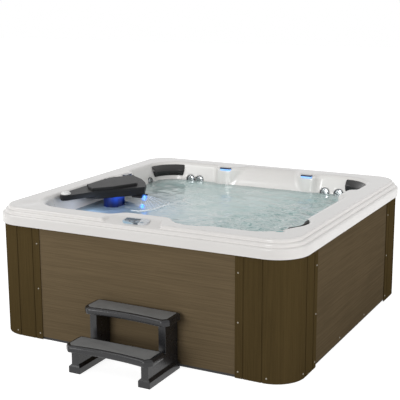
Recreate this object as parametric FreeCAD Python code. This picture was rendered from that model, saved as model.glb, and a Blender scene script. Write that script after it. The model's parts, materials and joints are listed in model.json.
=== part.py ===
# Hot tub: a moulded acrylic shell with seats on a framed cabinet, its jets and
# controls, the filter unit over its left wall, the equipment under the front
# seats, and a loose two-tread step. Millimetres, +Z up. The origin is the
# middle of the tub on the floor, the front is -Y and the step stands there.
import FreeCAD, Part
import math
import os

Vec = FreeCAD.Vector
UP = Vec(0, 0, 1)
ORIGIN = Vec(0, 0, 0)

# Overall sizes
cabinet_half = 1065.0
cabinet_corner_r = 192.0
quarter_turn = 90.0
rim_top = 868.0
lip_bottom = 748.0
lip_overhang = 15.0
overrun = 20.0
running_gap = 0.3
facet_sides = 16
jet_sides = 12

# Shell
shell_t = 8.0
skirt_top = 800.0
ridge_count = 3
ridge_run = 20.5
ridge_round = 17.0
round_steps = 2
deck_width = 170.0
upper_lean = 45.0
lower_lean = 15.0
bowl_corner_r = 200.0
bowl_half_rim = cabinet_half - deck_width
bowl_half_water = bowl_half_rim - upper_lean
bowl_half_arm = bowl_half_water - lower_lean
bowl_corner_centre = bowl_half_rim - bowl_corner_r
water_z = 740.0
arm_z = 560.0
seat_z = 350.0
foot_z = 110.0
foot_half = 430.0
foot_corner_r = 110.0
foot_chamfer = 24.0
corner_seat_inset = 135.0
corner_seat_centre = bowl_corner_centre - corner_seat_inset
corner_seat_r = 255.0
side_seat_overlap = 50.0
side_seat_inner = foot_half - side_seat_overlap
side_seat_margin = 13.0
side_seat_outer = bowl_half_arm - side_seat_margin
side_seat_half = 200.0
side_seat_corner_r = 70.0
seat_chamfer = 28.0

# Places of the bench seats: turn of the side, place along it
side_seats = {"back": 35.0, "right": 0.0, "front": -230.0}
side_turn = {"back": 0.0, "left": quarter_turn, "front": 2 * quarter_turn, "right": -quarter_turn}

# Pedestals that stand in from the bowl's sides: place along the side,
# half width of the face, and how far the face stands in from the wall's foot
pedestal_flare = 40.0
pedestals = {
    "back": (40.0, 410.0, 10.0),
    "left": (260.0, 90.0, 0.0),
    "right": (-365.0, 110.0, -3.0),
    "front": (25.0, 165.0, 20.0),
}
pad_flare = 90.0

# Headrest scoops in the right and front sides, and the notch in the corner
# between them
scoop_out = 55.0
scoop_back = 115.0
front_scoop_x = 328.0
front_scoop_out = 40.0
scoop_centres = {
    "right": (bowl_corner_centre + scoop_out, scoop_back - bowl_corner_centre),
    "front": (front_scoop_x, -bowl_corner_centre - front_scoop_out),
}
notch_r = 24.0
notch_x_inset = 23.0
notch_y_inset = 73.0
notch_centre = (bowl_half_rim - notch_x_inset, notch_y_inset - bowl_half_rim)
notch_depth = 90.0
back_scoop_half = 265.0
back_scoop_side = 85.0
back_scoop_depth = 125.0
back_scoop_drop = 95.0
back_scoop_middle = 55.0

# Control pad, a flat area of the front rim that leans outwards from the deck to
# the next ridge down, and is narrower at its back
pad_half = 201.0
pad_side = -40.0
pad_setback = 40.0
pad_middle = -16.0
pad_start = bowl_half_rim + pad_setback
pad_end = cabinet_half + lip_overhang - (ridge_count - 1) * ridge_run
pad_drop = (rim_top - skirt_top) / ridge_count

# Cabinet
panel_bottom = 20.0
panel_top = 752.0
panel_t = 12.0
flange_t = 6.0
corner_reach = 369.0
flange_edge = cabinet_half - corner_reach
panel_lap = 39.0
panel_half = flange_edge + panel_lap
corner_bottom = 4.0
corner_names = ("back_right_corner", "back_left_corner", "front_left_corner", "front_right_corner")
groove_w = 7.0
groove_d = 4.0
groove_offset = 54.0
groove_inner = flange_edge + groove_offset
groove_setback = 3.0
groove_outer = cabinet_half - cabinet_corner_r - groove_setback
screw_inset = 20.0
screw_line = flange_edge + screw_inset
screw_heights = (45.0, 350.0, 652.0)
screw_head_r = 5.5
screw_head_h = 2.0
low_screw_place = 250.0
low_screw_z = 43.0
round_screw_turn = 7.8
round_screw_z = 36.0

# Base and frame
pan_t = 6.0
pan_h = 20.0
pan_wall = 5.0
pan_gap = 1.0
rail_w = 38.0
rail_h = 50.0
rail_end_gap = 205.0
rail_half = cabinet_half - rail_end_gap
post_w = 60.0
post_places = (rail_w - rail_half, 0.0, rail_half - rail_w)
top_rail_setback = 52.0
top_rail_out = cabinet_half - top_rail_setback
top_rail_h = 46.0
cradle_inset = 130.0
cradle_half = foot_half - cradle_inset

# Jets: ring radius, cup, barrel and turning nozzle
jet_ring_r = 36.0
jet_ring_h = 7.0
jet_cup_r = 30.5
jet_cup_floor = 2.0
jet_barrel_r = 25.0
jet_hole_r = 26.0
jet_pocket_r = 38.0
jet_pocket_depth = 60.0
jet_stem_r = 8.0
jet_socket_r = 8.8
jet_stem_len = 9.0
jet_nozzle_r = 29.2
jet_nozzle_bevel = 6.0
jet_nozzle_t = 3.4
jet_nozzle_dome = 2.6
jet_eye_r = 7.0
jet_eye_place = 16.0
nut_r = 34.0
nut_t = 9.0
pipe_setback = 35.0
pipe_line = bowl_half_rim + pipe_setback
pipe_r = 22.0
short_barrel = 40.0
jet_inset = 16.0
jet_seat = bowl_half_water + jet_inset
low_jet_drop = 90.0

# Jets at the water line: side, which end of it, distance from the corner's middle
corner_jets = {
    "back_left_jet_outer": ("back", -1, 74.0),
    "back_left_jet_inner": ("back", -1, 154.0),
    "back_right_jet_inner": ("back", 1, 166.0),
    "back_right_jet_outer": ("back", 1, 56.0),
    "left_jet": ("left", 1, 75.0),
}

# Jets behind the bench seats: side, place along it, depth of the seat in the wall
seat_jets = {"back_seat_jet": ("back", 40.0, 3.0), "right_seat_jet": ("right", -60.0, 17.0)}

# Light outlets: side, and place from the middle of that side's pedestal
outlets = {"back_left": ("back", -335.0), "back_right": ("back", 347.0), "left": ("left", -5.0)}
outlet_half = 41.0
outlet_depth = 30.0
outlet_lens_h = 12.0
outlet_cap_h = 11.0
outlet_gap = 0.5
outlet_proud = 3.0
outlet_top_drop = 1.0

# Pillows: curved pads that follow the conical corners and scoops
pillow_low = 765.0
pillow_high = 850.0
pillow_gap = 0.6
pillow_t = 38.0
pillow_edge = 16.0
pillow_crown = 24.0
pillow_angle = 96.0
pillow_sections = 12
pillow_end_share = 0.45
pillow_turns = {"back_right": 45.0, "back_left": 135.0, "right": 0.0, "front": 270.0}

# Footwell fittings
cover_r = 60.0
cover_t = 9.0
cover_edge = 3.0
cover_bevel = 18.0
cover_tail_r = 19.0
cover_tail_hole_r = 19.8
cover_tail = 30.0
cover_place = 200.0
cover_z = 220.0
light_r = 42.0
light_t = 7.0
light_edge = 3.0
light_bevel = 8.0
light_z = 300.0

# Filter unit over the left wall: x is measured from the rim's left inner edge
deck_t = 37.0
deck_wall = 5.0
deck_plate = 8.0
deck_front = [(195.0, -378.0), (255.0, -300.0), (355.0, -180.0), (418.0, -106.0), (405.0, -60.0)]
deck_back = [(342.0, 32.0), (255.0, 130.0), (117.0, 232.0), (73.0, 222.0), (73.0, 135.0), (17.0, 115.0)]
deck_tip = [(17.0, -560.0), (40.0, -605.0), (69.0, -620.0), (95.0, -596.0)]
skirt_back = [(335.0, 40.0), (95.0, 40.0), (95.0, -378.0)]
skirt_h = 23.0
lid_points = [(57.0, -285.0), (89.0, -334.0), (167.0, -395.0), (261.0, -284.0), (345.0, -92.0),
              (318.0, -38.0), (163.0, 165.0), (98.0, 53.0), (57.0, -15.0)]
lid_t = 21.0
lid_wall = 4.0
lid_bevel = 5.0
hinge_inset = 42.0
hinge_x = hinge_inset - bowl_half_rim
hinge_rise = 9.0
hinge_r = 6.0
hinge_pin_r = 3.0
hinge_low_y = -255.0
hinge_high_y = -45.0
hinge_lug = 14.0
housing_inset = 223.0
housing_centre = (housing_inset - bowl_half_rim, -207.0)
housing_r = 75.0
housing_wall = 4.0
housing_floor = 8.0
can_sides = 32
mouth_half = 42.0
mouth_z = (690.0, 800.0)
flap_place = 50.0
flap_t = 4.0
flap_gap = 2.0
flap_pin_r = 3.0
cartridge_r = 58.0
cartridge_core_r = 22.0
cartridge_h = 104.0
pleat_count = 16
pleat_d = 9.0
cartridge_cap_t = 9.0
access_r = 66.0
access_sides = 8
spout_inset = 335.0
spout_len = 80.0
spout_x = (spout_inset - bowl_half_rim, spout_inset + spout_len - bowl_half_rim)
spout_y = (-150.0, -60.0)
spout_h = 14.0
spout_slot = 5.0
spout_lens_t = 4.0
knob_r = 34.0
knob_h = 17.0
knob_bevel = 8.0
knob_rise = 1.0
knob_inset = 59.0
knob_place = (knob_inset - bowl_half_rim, -560.0)
knob_stem_r = 8.0
knob_stem_len = 20.0

# Control display on the pad
display_half = 89.0
display_depth = 38.0
display_r = 34.0
display_t = 9.0
display_x = -12.0
display_from_start = 50.0
window_half = 48.0
window_depth = 11.0
window_t = 3.0
window_place = -22.0
window_shift = 14.0
button_half = 11.0
button_depth = 6.0
button_cut = 3.0
button_gap = 0.4
button_proud = 1.2
button_travel = 1.0
button_floor = 1.6
button_xs = (-52.0, -18.0, 18.0, 52.0)
button_shift = 18.0
button_names = ("cooler_button", "jets_button", "light_button", "warmer_button")

# Equipment under the front seats
pump_setback = 325.0
pump_y = pump_setback - cabinet_half
pump_z = 125.0
volute_r = 95.0
volute_gap = 120.0
volute_len = 110.0
volute_x = (-foot_half - volute_gap - volute_len, -foot_half - volute_gap)
volute_wall = 14.0
motor_r = 82.0
motor_end_gap = 145.0
motor_x = (motor_end_gap - cabinet_half, volute_x[0])
motor_collar = 20.0
motor_collar_step = 8.0
motor_foot_w = 150.0
motor_foot_inset = 25.0
motor_foot_top = 60.0
port_r = 28.0
port_bore_r = 20.0
port_len = 30.0
impeller_r = 70.0
impeller_plate = 6.0
impeller_t = 26.0
impeller_hub_r = 20.0
impeller_gap = 10.0
vane_count = 5
vane_t = 6.0
shaft_r = 8.0
shaft_gap = 0.8
small_pump_back = 260.0
small_pump_out = 210.0
small_pump_centre = (-foot_half - small_pump_out, pump_y + small_pump_back)
small_pump_r = 48.0
small_pump_h = 150.0
small_pump_neck_r = 30.0
small_pump_neck_h = 14.0
small_pump_base = 62.0
small_pump_base_h = 12.0
heater_setback = 165.0
heater_y = heater_setback - cabinet_half
heater_z = 200.0
heater_r = 32.0
heater_x = (-480.0, -160.0)
heater_union_r = 42.0
heater_union_l = 40.0
heater_foot_w = 30.0
heater_tap = 55.0
box_x = (140.0, 480.0)
box_setback = 57.0
box_depth = 130.0
box_y = (box_setback - cabinet_half, box_setback + box_depth - cabinet_half)
box_drop = 20.0
box_z = seat_z - box_drop
box_cover_t = 14.0
box_cover_rim = 6.0
suction_gap = 60.0
suction_x = -foot_half - suction_gap
riser_drop = 50.0
riser_z = seat_z - riser_drop
heat_pipe_drop = 65.0
heat_pipe_z = seat_z - heat_pipe_drop
heat_pipe_x = heater_x[0] + heater_tap
return_x = heater_x[1] - heater_tap
manifold_overlap = 25.0
manifold_end = bowl_corner_centre + manifold_overlap

# Drain and cable entry in the back panel
fitting_inset = 135.0
drain_x = panel_half - fitting_inset
drain_z = 90.0
drain_r = 15.0
drain_bore_r = 9.0
drain_hole_r = 16.0
drain_flange_r = 26.0
drain_flange_t = 5.0
drain_out = 24.0
drain_in = 60.0
cap_r = 20.0
cap_t = 4.0
cable_x = fitting_inset - panel_half
cable_z = 110.0
cable_r = 17.5

# Step
step_x = 52.0
step_gap = 8.0
step_back = -cabinet_half - step_gap
tread_half = 292.0
tread_depth = 188.0
tread_t = 42.0
tread_bevel = 11.0
tread_chamfer = 62.0
tread_back_chamfer = 35.0
tread_bow = 20.0
upper_top = 358.0
lower_top = 182.0
lower_back = 205.0
side_t = 48.0
side_middle = 242.0
side_front_inset = 42.0
foot_w = 80.0
foot_h = 56.0
foot_bevel = 16.0
foot_front_extra = 10.0
mat_inset = 22.0
mat_t = 2.0


def box(x, y, z):
    low = Vec(min(x), min(y), min(z))
    return Part.makeBox(abs(x[1] - x[0]), abs(y[1] - y[0]), abs(z[1] - z[0]), low)


def rod(radius, start, end):
    axis = end - start
    return Part.makeCylinder(radius, axis.Length, start, axis)


def turned(points, place=ORIGIN, axis=UP):
    """Solid of revolution: points are (radius, distance along the axis)."""
    corners = [Vec(r, 0, a) for r, a in points]
    face = Part.Face(Part.makePolygon(corners + [corners[0]]))
    solid = face.revolve(ORIGIN, UP, 4 * quarter_turn)
    solid.Placement = FreeCAD.Placement(place, FreeCAD.Rotation(UP, axis))
    return solid


def polygon_prism(points, z):
    corners = [Vec(x, y, z[0]) for x, y in points]
    return Part.Face(Part.makePolygon(corners + [corners[0]])).extrude(Vec(0, 0, z[1] - z[0]))


def rounded_wire(half_x, half_y, r, z, centre=(0, 0)):
    """A rectangle with round corners, as four lines and four arcs."""
    edges = []
    inner_x = half_x - r
    inner_y = half_y - r
    cut = r * math.sqrt(0.5)
    signs = [(1, 1), (-1, 1), (-1, -1), (1, -1)]
    for i, (sx, sy) in enumerate(signs):
        cx = centre[0] + sx * inner_x
        cy = centre[1] + sy * inner_y
        side = Vec(cx + sx * r, cy, z)
        end = Vec(cx, cy + sy * r, z)
        middle = Vec(cx + sx * cut, cy + sy * cut, z)
        first, last = (side, end) if i % 2 == 0 else (end, side)
        edges.append((first, middle, last))
    lines = []
    for i, (first, middle, last) in enumerate(edges):
        lines.append(Part.Arc(first, middle, last).toShape())
        following = edges[(i + 1) % len(edges)][0]
        lines.append(Part.LineSegment(last, following).toShape())
    return Part.Wire(lines)


def rounded_prism(half_x, half_y, r, z, centre=(0, 0)):
    wire = rounded_wire(half_x, half_y, r, z[0], centre)
    return Part.Face(wire).extrude(Vec(0, 0, z[1] - z[0]))


def to_side(shape, side):
    """Turn a shape drawn at the back side to another side of the tub."""
    moved = shape.copy()
    moved.rotate(ORIGIN, UP, side_turn[side])
    return moved


def pedestal_face(side):
    return bowl_half_arm - pedestals[side][2]


def side_point(side, along, out, z):
    angle = math.radians(side_turn[side])
    return Vec(along * math.cos(angle) - out * math.sin(angle),
               along * math.sin(angle) + out * math.cos(angle), z)


def skinned(rings, halved=False):
    """A solid with flat sides from rings of the same number of corners.

    Each side between two rings is one flat face, or two triangles if halved.
    """
    faces = [Part.Face(Part.makePolygon(ring + [ring[0]])) for ring in (rings[0], rings[-1])]
    for low, high in zip(rings, rings[1:]):
        for i in range(len(low)):
            corners = [low[i - 1], low[i], high[i], high[i - 1]]
            sides = [corners[:3], [corners[0]] + corners[2:]] if halved else [corners]
            faces += [Part.Face(Part.makePolygon(side + [side[0]])) for side in sides]
    solid = Part.Solid(Part.Shell(faces))
    if solid.Volume < 0:
        solid.reverse()
    return solid.removeSplitter()


def faceted(points, place=ORIGIN, axis=UP, sides=facet_sides):
    """A many-sided turned piece: points are (corner radius, distance along the axis)."""
    turns = [2 * math.pi * (i + 0.5) / sides for i in range(sides)]
    solid = skinned([[Vec(r * math.cos(t), r * math.sin(t), a) for t in turns] for r, a in points])
    solid.Placement = FreeCAD.Placement(place, FreeCAD.Rotation(UP, axis))
    return solid


def round_points(radius):
    """A rounded edge in straight steps (in, up)."""
    angles = [math.pi / 2 * i / round_steps for i in range(round_steps + 1)]
    return [(radius * (1 - math.sin(a)), radius * (1 - math.cos(a))) for a in angles]


def back_chamfer(size, grow):
    """Size of the chamfer behind a wall of thickness grow, so that it stays even."""
    return size + grow * (2 - math.sqrt(2))


def chamfered_well(half_x, half_y, corner_r, z, chamfer, centre=(0, 0)):
    """An upright block with round corners and a chamfered foot."""
    wires = [rounded_wire(half_x - chamfer, half_y - chamfer, corner_r - chamfer, z[0], centre),
             rounded_wire(half_x, half_y, corner_r, z[0] + chamfer, centre),
             rounded_wire(half_x, half_y, corner_r, z[1], centre)]
    return fused([Part.makeLoft(wires[i:i + 2], True, True) for i in range(len(wires) - 1)])


def save(name, solids):
    shape = solids[0] if len(solids) == 1 else Part.makeCompound(solids)
    shape.exportStep("parts/" + name + ".step")


def fused(solids):
    return solids[0].multiFuse(solids[1:]).removeSplitter()


# Shell

def bowl_half(z):
    if z < water_z:
        share = (z - arm_z) / (water_z - arm_z)
        return bowl_half_arm + share * (bowl_half_water - bowl_half_arm)
    share = (z - water_z) / (rim_top - water_z)
    return bowl_half_water + share * (bowl_half_rim - bowl_half_water)


def cone_radius(z):
    return bowl_half(z) - bowl_corner_centre


def bowl_levels(grow):
    """Heights of the bowl's sections, with the size each is drawn for."""
    top = rim_top if grow else rim_top + overrun
    return [(arm_z - grow, arm_z), (water_z, water_z), (top, top)]


def upper_bowl(grow):
    wires = []
    for z, drawn in bowl_levels(grow):
        half = bowl_half(drawn) + grow
        wires.append(rounded_wire(half, half, half - bowl_corner_centre, z))
    parts = [Part.makeLoft(wires[i:i + 2], True, True) for i in range(len(wires) - 1)]
    return fused(parts)


def scoop(centre, grow):
    levels = bowl_levels(grow)
    points = [(cone_radius(drawn) + grow, z) for z, drawn in levels]
    points = [(0, levels[0][0])] + points + [(0, levels[-1][0])]
    return turned(points, Vec(centre[0], centre[1], 0))


def back_scoop(grow):
    """The shallow headrest dip between the two outlets at the back."""
    face = pedestal_face("back")
    front = face - overrun
    low = rim_top - back_scoop_drop - grow
    back = face + back_scoop_depth + grow
    top = rim_top if grow else rim_top + overrun
    slope = back_scoop_depth / back_scoop_drop
    extra = top - rim_top
    side = [Vec(0, front, low), Vec(0, face, low), Vec(0, back + extra * slope, top), Vec(0, front, top)]
    half = back_scoop_half + grow
    wedge = Part.Face(Part.makePolygon(side + [side[0]])).extrude(Vec(half + half, 0, 0))
    wedge.translate(Vec(back_scoop_middle - half, 0, 0))
    wide = back + overrun + overrun
    plan = [(-half, front), (half, front), (half, face), (half - back_scoop_side, wide),
            (back_scoop_side - half, wide), (-half, face)]
    plan = [(x + back_scoop_middle, y) for x, y in plan]
    return wedge.common(polygon_prism(plan, (low, top)))


def pedestal(side, grow):
    along, half = pedestals[side][:2]
    flare = pad_flare if side == "front" else pedestal_flare
    far = bowl_half_rim + overrun + overrun
    near = pedestal_face(side) + grow
    inner = half - grow
    plan = [(along - inner - flare, far), (along - inner, near),
            (along + inner, near), (along + inner + flare, far)]
    return to_side(polygon_prism(plan, (arm_z - overrun, rim_top + overrun)), side)


def corner_seat(sx, sy, grow):
    low_z = seat_z - grow
    r = corner_seat_r + grow
    foot = [(r, low_z)] if grow else [(r - seat_chamfer, low_z), (r, low_z + seat_chamfer)]
    points = [(0, low_z)] + foot + [(r, arm_z + overrun), (0, arm_z + overrun)]
    return turned(points, Vec(sx * corner_seat_centre, sy * corner_seat_centre, 0))


def side_seat(side, grow):
    half_out = (side_seat_outer - side_seat_inner) / 2 + grow
    middle = (side_seat_outer + side_seat_inner) / 2
    z = (seat_z - grow, arm_z + overrun)
    well = chamfered_well(side_seat_half + grow, half_out, side_seat_corner_r + grow, z,
                          back_chamfer(seat_chamfer, grow), (side_seats[side], middle))
    return to_side(well, side)


def footwell(grow):
    half = foot_half + grow
    z = (foot_z - grow, arm_z + overrun)
    return chamfered_well(half, half, foot_corner_r + grow, z, back_chamfer(foot_chamfer, grow))


def side_facets(side, along, z, radius, near, far):
    """A many-sided bore into a side, between two distances from the middle."""
    place = side_point(side, along, near, z)
    return faceted([(radius, 0), (radius, far - near)], place, side_point(side, 0, 1, 0), jet_sides)


def corner_notch(grow):
    """The small round notch in the rim at the front right corner."""
    z = (rim_top - notch_depth - grow, rim_top if grow else rim_top + overrun)
    low = Vec(notch_centre[0], notch_centre[1], z[0])
    return faceted([(notch_r + grow, 0), (notch_r + grow, z[1] - z[0])], low, UP)


def jet_places():
    """Each jet's side, place along it, height, and distance of its seat from the middle."""
    places = {}
    for name, (side, way, inset) in corner_jets.items():
        places[name] = (side, way * (bowl_corner_centre - inset), water_z, jet_seat)
    for name, (side, along, depth) in seat_jets.items():
        places[name] = (side, along, water_z - low_jet_drop, bowl_half_arm + depth)
    return places


def jet_pocket(side, along, z, seat, grow):
    return side_facets(side, along, z, jet_pocket_r + grow, seat - jet_pocket_depth, seat + grow)


def outlet_pocket(side, place, grow):
    along = pedestals[side][0] + place
    face = pedestal_face(side)
    half = outlet_half + outlet_gap + grow
    low = rim_top - outlet_lens_h - outlet_cap_h - outlet_top_drop - grow
    z = (low, rim_top if grow else rim_top + overrun)
    y = (face - overrun, face + outlet_depth + grow)
    return to_side(box((along - half, along + half), y, z), side)


def cavity(grow):
    solids = [scoop(centre, grow) for centre in scoop_centres.values()]
    solid = upper_bowl(grow).multiFuse(solids)
    for side in pedestals:
        solid = solid.cut(pedestal(side, grow))
    added = [corner_seat(sx, sy, grow) for sx in (-1, 1) for sy in (-1, 1)]
    added += [side_seat(side, grow) for side in side_seats]
    added += [footwell(grow), back_scoop(grow), corner_notch(grow)]
    added += [jet_pocket(side, along, z, seat, grow) for side, along, z, seat in jet_places().values()]
    added += [outlet_pocket(side, place, grow) for side, place in outlets.values()]
    return solid.multiFuse(added)


def lip_profile():
    """Section of the stepped lip: outer side up, then down inside its wall."""
    r = cabinet_corner_r + lip_overhang
    rise = (rim_top - skirt_top) / ridge_count
    points = [Vec(r, 0, lip_bottom)]
    for i in range(ridge_count):
        crest = skirt_top + (i + 1) * rise
        out = r - i * ridge_run
        for down, inset in round_points(ridge_round):
            points.append(Vec(out - inset, 0, crest - down))
        points.append(Vec(out - ridge_run, 0, crest))
    points += [Vec(points[-1].x, 0, rim_top - shell_t), Vec(r - shell_t, 0, skirt_top - shell_t),
               Vec(r - shell_t, 0, lip_bottom)]
    return Part.Face(Part.makePolygon(points + [points[0]]))


def lip_ring():
    centre = cabinet_half - cabinet_corner_r
    quarter = lip_profile().revolve(ORIGIN, UP, quarter_turn)
    quarter.translate(Vec(centre, centre, 0))
    side = lip_profile()
    side.translate(Vec(centre, -centre, 0))
    side = side.extrude(Vec(0, centre + centre, 0))
    solids = []
    for turn in side_turn.values():
        for piece in (quarter, side):
            copy = piece.copy()
            copy.rotate(ORIGIN, UP, turn)
            solids.append(copy)
    return solids


def pad_slope():
    return pad_drop / (pad_end - pad_start)


def pad_block(section):
    """Extrude a section of (distance out, height) along the pad's length."""
    back = pad_half + pad_side
    corners = [Vec(-pad_half, -y, z) for y, z in section]
    block = Part.Face(Part.makePolygon(corners + [corners[0]])).extrude(Vec(2 * pad_half, 0, 0))
    plan = [(-back, -pad_start), (-pad_half, -pad_end), (pad_half, -pad_end), (back, -pad_start)]
    block = block.common(polygon_prism(plan, (lip_bottom, rim_top + overrun)))
    block.translate(Vec(pad_middle, 0, 0))
    return block


def pad_height(out):
    return rim_top - pad_slope() * (out - pad_start)


def control_pad():
    """The flat that leans outwards through the top ridge of the front lip."""
    low = pad_height(pad_end)
    return pad_block([(pad_start, rim_top), (pad_end, low), (pad_end, low - shell_t),
                      (pad_start, rim_top - shell_t)])


def pad_clearance():
    high = rim_top + overrun
    return pad_block([(pad_start, rim_top), (pad_end, pad_height(pad_end)), (pad_end, high),
                      (pad_start, high)])


def tub_shell():
    outer_half = cabinet_half + lip_overhang - ridge_count * ridge_run
    corner_r = cabinet_corner_r + lip_overhang - ridge_count * ridge_run
    deck = rounded_prism(outer_half, outer_half, corner_r, (rim_top - shell_t, rim_top))
    body = cavity(shell_t).multiFuse(lip_ring() + [deck, control_pad()])
    shell = body.cut(pad_clearance()).cut(cavity(0))
    holes = [side_facets(side, along, z, jet_hole_r, seat - overrun, seat + overrun)
             for side, along, z, seat in jet_places().values()]
    holes += [side_facets("left", y, cover_z, cover_tail_hole_r, foot_half - overrun, foot_half + overrun)
              for y in (-cover_place, cover_place)]
    return shell.cut(Part.makeCompound(holes)).removeSplitter()


# Cabinet

def panel(side, holes):
    """One flat cabinet panel; holes are (place along it, height, radius)."""
    face = cabinet_half - flange_t
    plate = box((-panel_half, panel_half), (face - panel_t, face), (panel_bottom, panel_top))
    for x, z, r in holes:
        plate = plate.cut(rod(r, Vec(x, face - panel_t - overrun, z), Vec(x, face + overrun, z)))
    return to_side(plate, side)


def corner_path(outer, centre):
    """Plan of the corner piece seen from above, at the (+,+) corner."""
    inner_r = cabinet_corner_r - flange_t - panel_t
    r = cabinet_corner_r
    cut = math.sqrt(0.5)
    thin = outer - flange_t
    back = outer - flange_t - panel_t
    points = [Vec(outer, flange_edge, 0), Vec(outer, centre, 0), Vec(centre, outer, 0),
              Vec(flange_edge, outer, 0), Vec(flange_edge, thin, 0), Vec(panel_half, thin, 0),
              Vec(panel_half, back, 0), Vec(centre, back, 0), Vec(back, centre, 0),
              Vec(back, panel_half, 0), Vec(thin, panel_half, 0), Vec(thin, flange_edge, 0)]
    arcs = {1: Vec(centre + r * cut, centre + r * cut, 0),
            7: Vec(centre + inner_r * cut, centre + inner_r * cut, 0)}
    edges = []
    for i, point in enumerate(points):
        following = points[(i + 1) % len(points)]
        if i in arcs:
            edges.append(Part.Arc(point, arcs[i], following).toShape())
        else:
            edges.append(Part.LineSegment(point, following).toShape())
    return Part.Face(Part.Wire(edges))


def corner_piece():
    centre = cabinet_half - cabinet_corner_r
    piece = corner_path(cabinet_half, centre)
    piece.translate(Vec(0, 0, corner_bottom))
    piece = piece.extrude(Vec(0, 0, panel_top - corner_bottom))
    cuts = []
    z = (corner_bottom - overrun, panel_top + overrun)
    for place in (groove_inner, groove_outer):
        span = (place - groove_w / 2, place + groove_w / 2)
        depth = (cabinet_half - groove_d, cabinet_half + overrun)
        cuts += [box(span, depth, z), box(depth, span, z)]
    return piece.cut(Part.makeCompound(cuts))


def screw(point, outward):
    """Hexagon head of one cabinet screw; point is the face it bears on."""
    turns = [math.pi / 3 * i for i in range(7)]
    head = Part.makePolygon([Vec(screw_head_r * math.cos(t), screw_head_r * math.sin(t), 0) for t in turns])
    head = Part.Face(head).extrude(Vec(0, 0, screw_head_h))
    head.Placement = FreeCAD.Placement(point, FreeCAD.Rotation(UP, outward))
    return head


def panel_screws():
    screws = []
    for side in side_turn:
        outward = side_point(side, 0, 1, 0)
        for along in (-screw_line, screw_line):
            screws += [screw(side_point(side, along, cabinet_half, z), outward) for z in screw_heights]
        for along in (-low_screw_place, low_screw_place):
            screws.append(screw(side_point(side, along, cabinet_half - flange_t, low_screw_z), outward))
        screws += [round_corner_screw(side, way) for way in (-1, 1)]
    return screws


def round_corner_screw(side, way):
    """A low screw just round the corner from the end of a side."""
    centre = cabinet_half - cabinet_corner_r
    angle = math.radians(round_screw_turn)
    across = way * math.sin(angle)
    outward = side_point(side, across, math.cos(angle), 0)
    place = side_point(side, way * centre, centre, round_screw_z)
    return screw(place + outward * cabinet_corner_r, outward)


# Base and frame

def base_pan():
    half = cabinet_half - flange_t - panel_t - pan_gap
    corner = cabinet_corner_r - flange_t - panel_t - pan_gap
    tray = rounded_prism(half, half, corner, (0, pan_h))
    inside = rounded_prism(half - pan_wall, half - pan_wall, corner - pan_wall, (pan_t, pan_h + overrun))
    return tray.cut(inside)


def frame_out():
    return cabinet_half - flange_t - panel_t


def bottom_rails():
    out = frame_out() - pan_wall - pan_gap
    rail = box((-rail_half, rail_half), (out - rail_w, out), (pan_t, pan_t + rail_h))
    return [to_side(rail, side) for side in side_turn]


def top_rails():
    """Rails under the rim; the front one is notched under the control pad."""
    z = (rim_top - shell_t - top_rail_h, rim_top - shell_t)
    rail = box((-rail_half, rail_half), (top_rail_out - rail_w, top_rail_out), z)
    low = pad_height(top_rail_out) - shell_t
    notch = box((pad_middle - pad_half, pad_middle + pad_half),
                (-top_rail_out - overrun, rail_w - top_rail_out + overrun), (low, rim_top))
    return [to_side(rail, side).cut(notch) for side in side_turn]


def frame_posts():
    z = (pan_t + rail_h, rim_top - shell_t - top_rail_h)
    depth = (top_rail_out - rail_w, frame_out())
    post = box((-post_w / 2, post_w / 2), depth, z)
    posts = []
    for side in side_turn:
        for place in post_places:
            moved = post.copy()
            moved.translate(Vec(place, 0, 0))
            posts.append(to_side(moved, side))
    return posts


def footwell_cradle():
    return box((-cradle_half, cradle_half), (-cradle_half, cradle_half), (pan_t, foot_z - shell_t))


# Jets

def jet_body(side, along, z, seat):
    pipe_flat = pipe_r * math.cos(math.pi / facet_sides)
    barrel = pipe_line - pipe_flat - seat if z == water_z else short_barrel
    outer = [(jet_barrel_r, -barrel), (jet_barrel_r, -shell_t - nut_t), (nut_r, -shell_t - nut_t),
             (nut_r, -shell_t), (jet_barrel_r, -shell_t), (jet_barrel_r, 0), (jet_ring_r, 0),
             (jet_ring_r, jet_ring_h)]
    inner = [(jet_socket_r, -jet_stem_len - running_gap), (jet_socket_r, jet_cup_floor),
             (jet_cup_r, jet_cup_floor),
             (jet_cup_r, jet_ring_h + overrun)]
    place = side_point(side, along, seat, z)
    axis = -side_point(side, 0, 1, 0)
    return faceted(outer, place, axis, jet_sides).cut(faceted(inner, place, axis, jet_sides))


def jet_nozzle(side, along, z, seat):
    """The turning face of a jet, with an off-centre eye in its gripped disc."""
    floor = jet_cup_floor + running_gap
    top = floor + jet_nozzle_t
    points = [(jet_stem_r, -jet_stem_len), (jet_stem_r, floor), (jet_nozzle_r, floor), (jet_nozzle_r, top),
              (jet_nozzle_r - jet_nozzle_bevel, top + jet_nozzle_dome)]
    axis = -side_point(side, 0, 1, 0)
    eye = [(jet_eye_r, 0), (jet_eye_r, overrun)]
    place = side_point(side, along, seat, z)
    eye_place = place + Vec(0, 0, jet_eye_place) + axis * top
    return faceted(points, place, axis, jet_sides).cut(faceted(eye, eye_place, axis, jet_sides))


# Pillows

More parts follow.
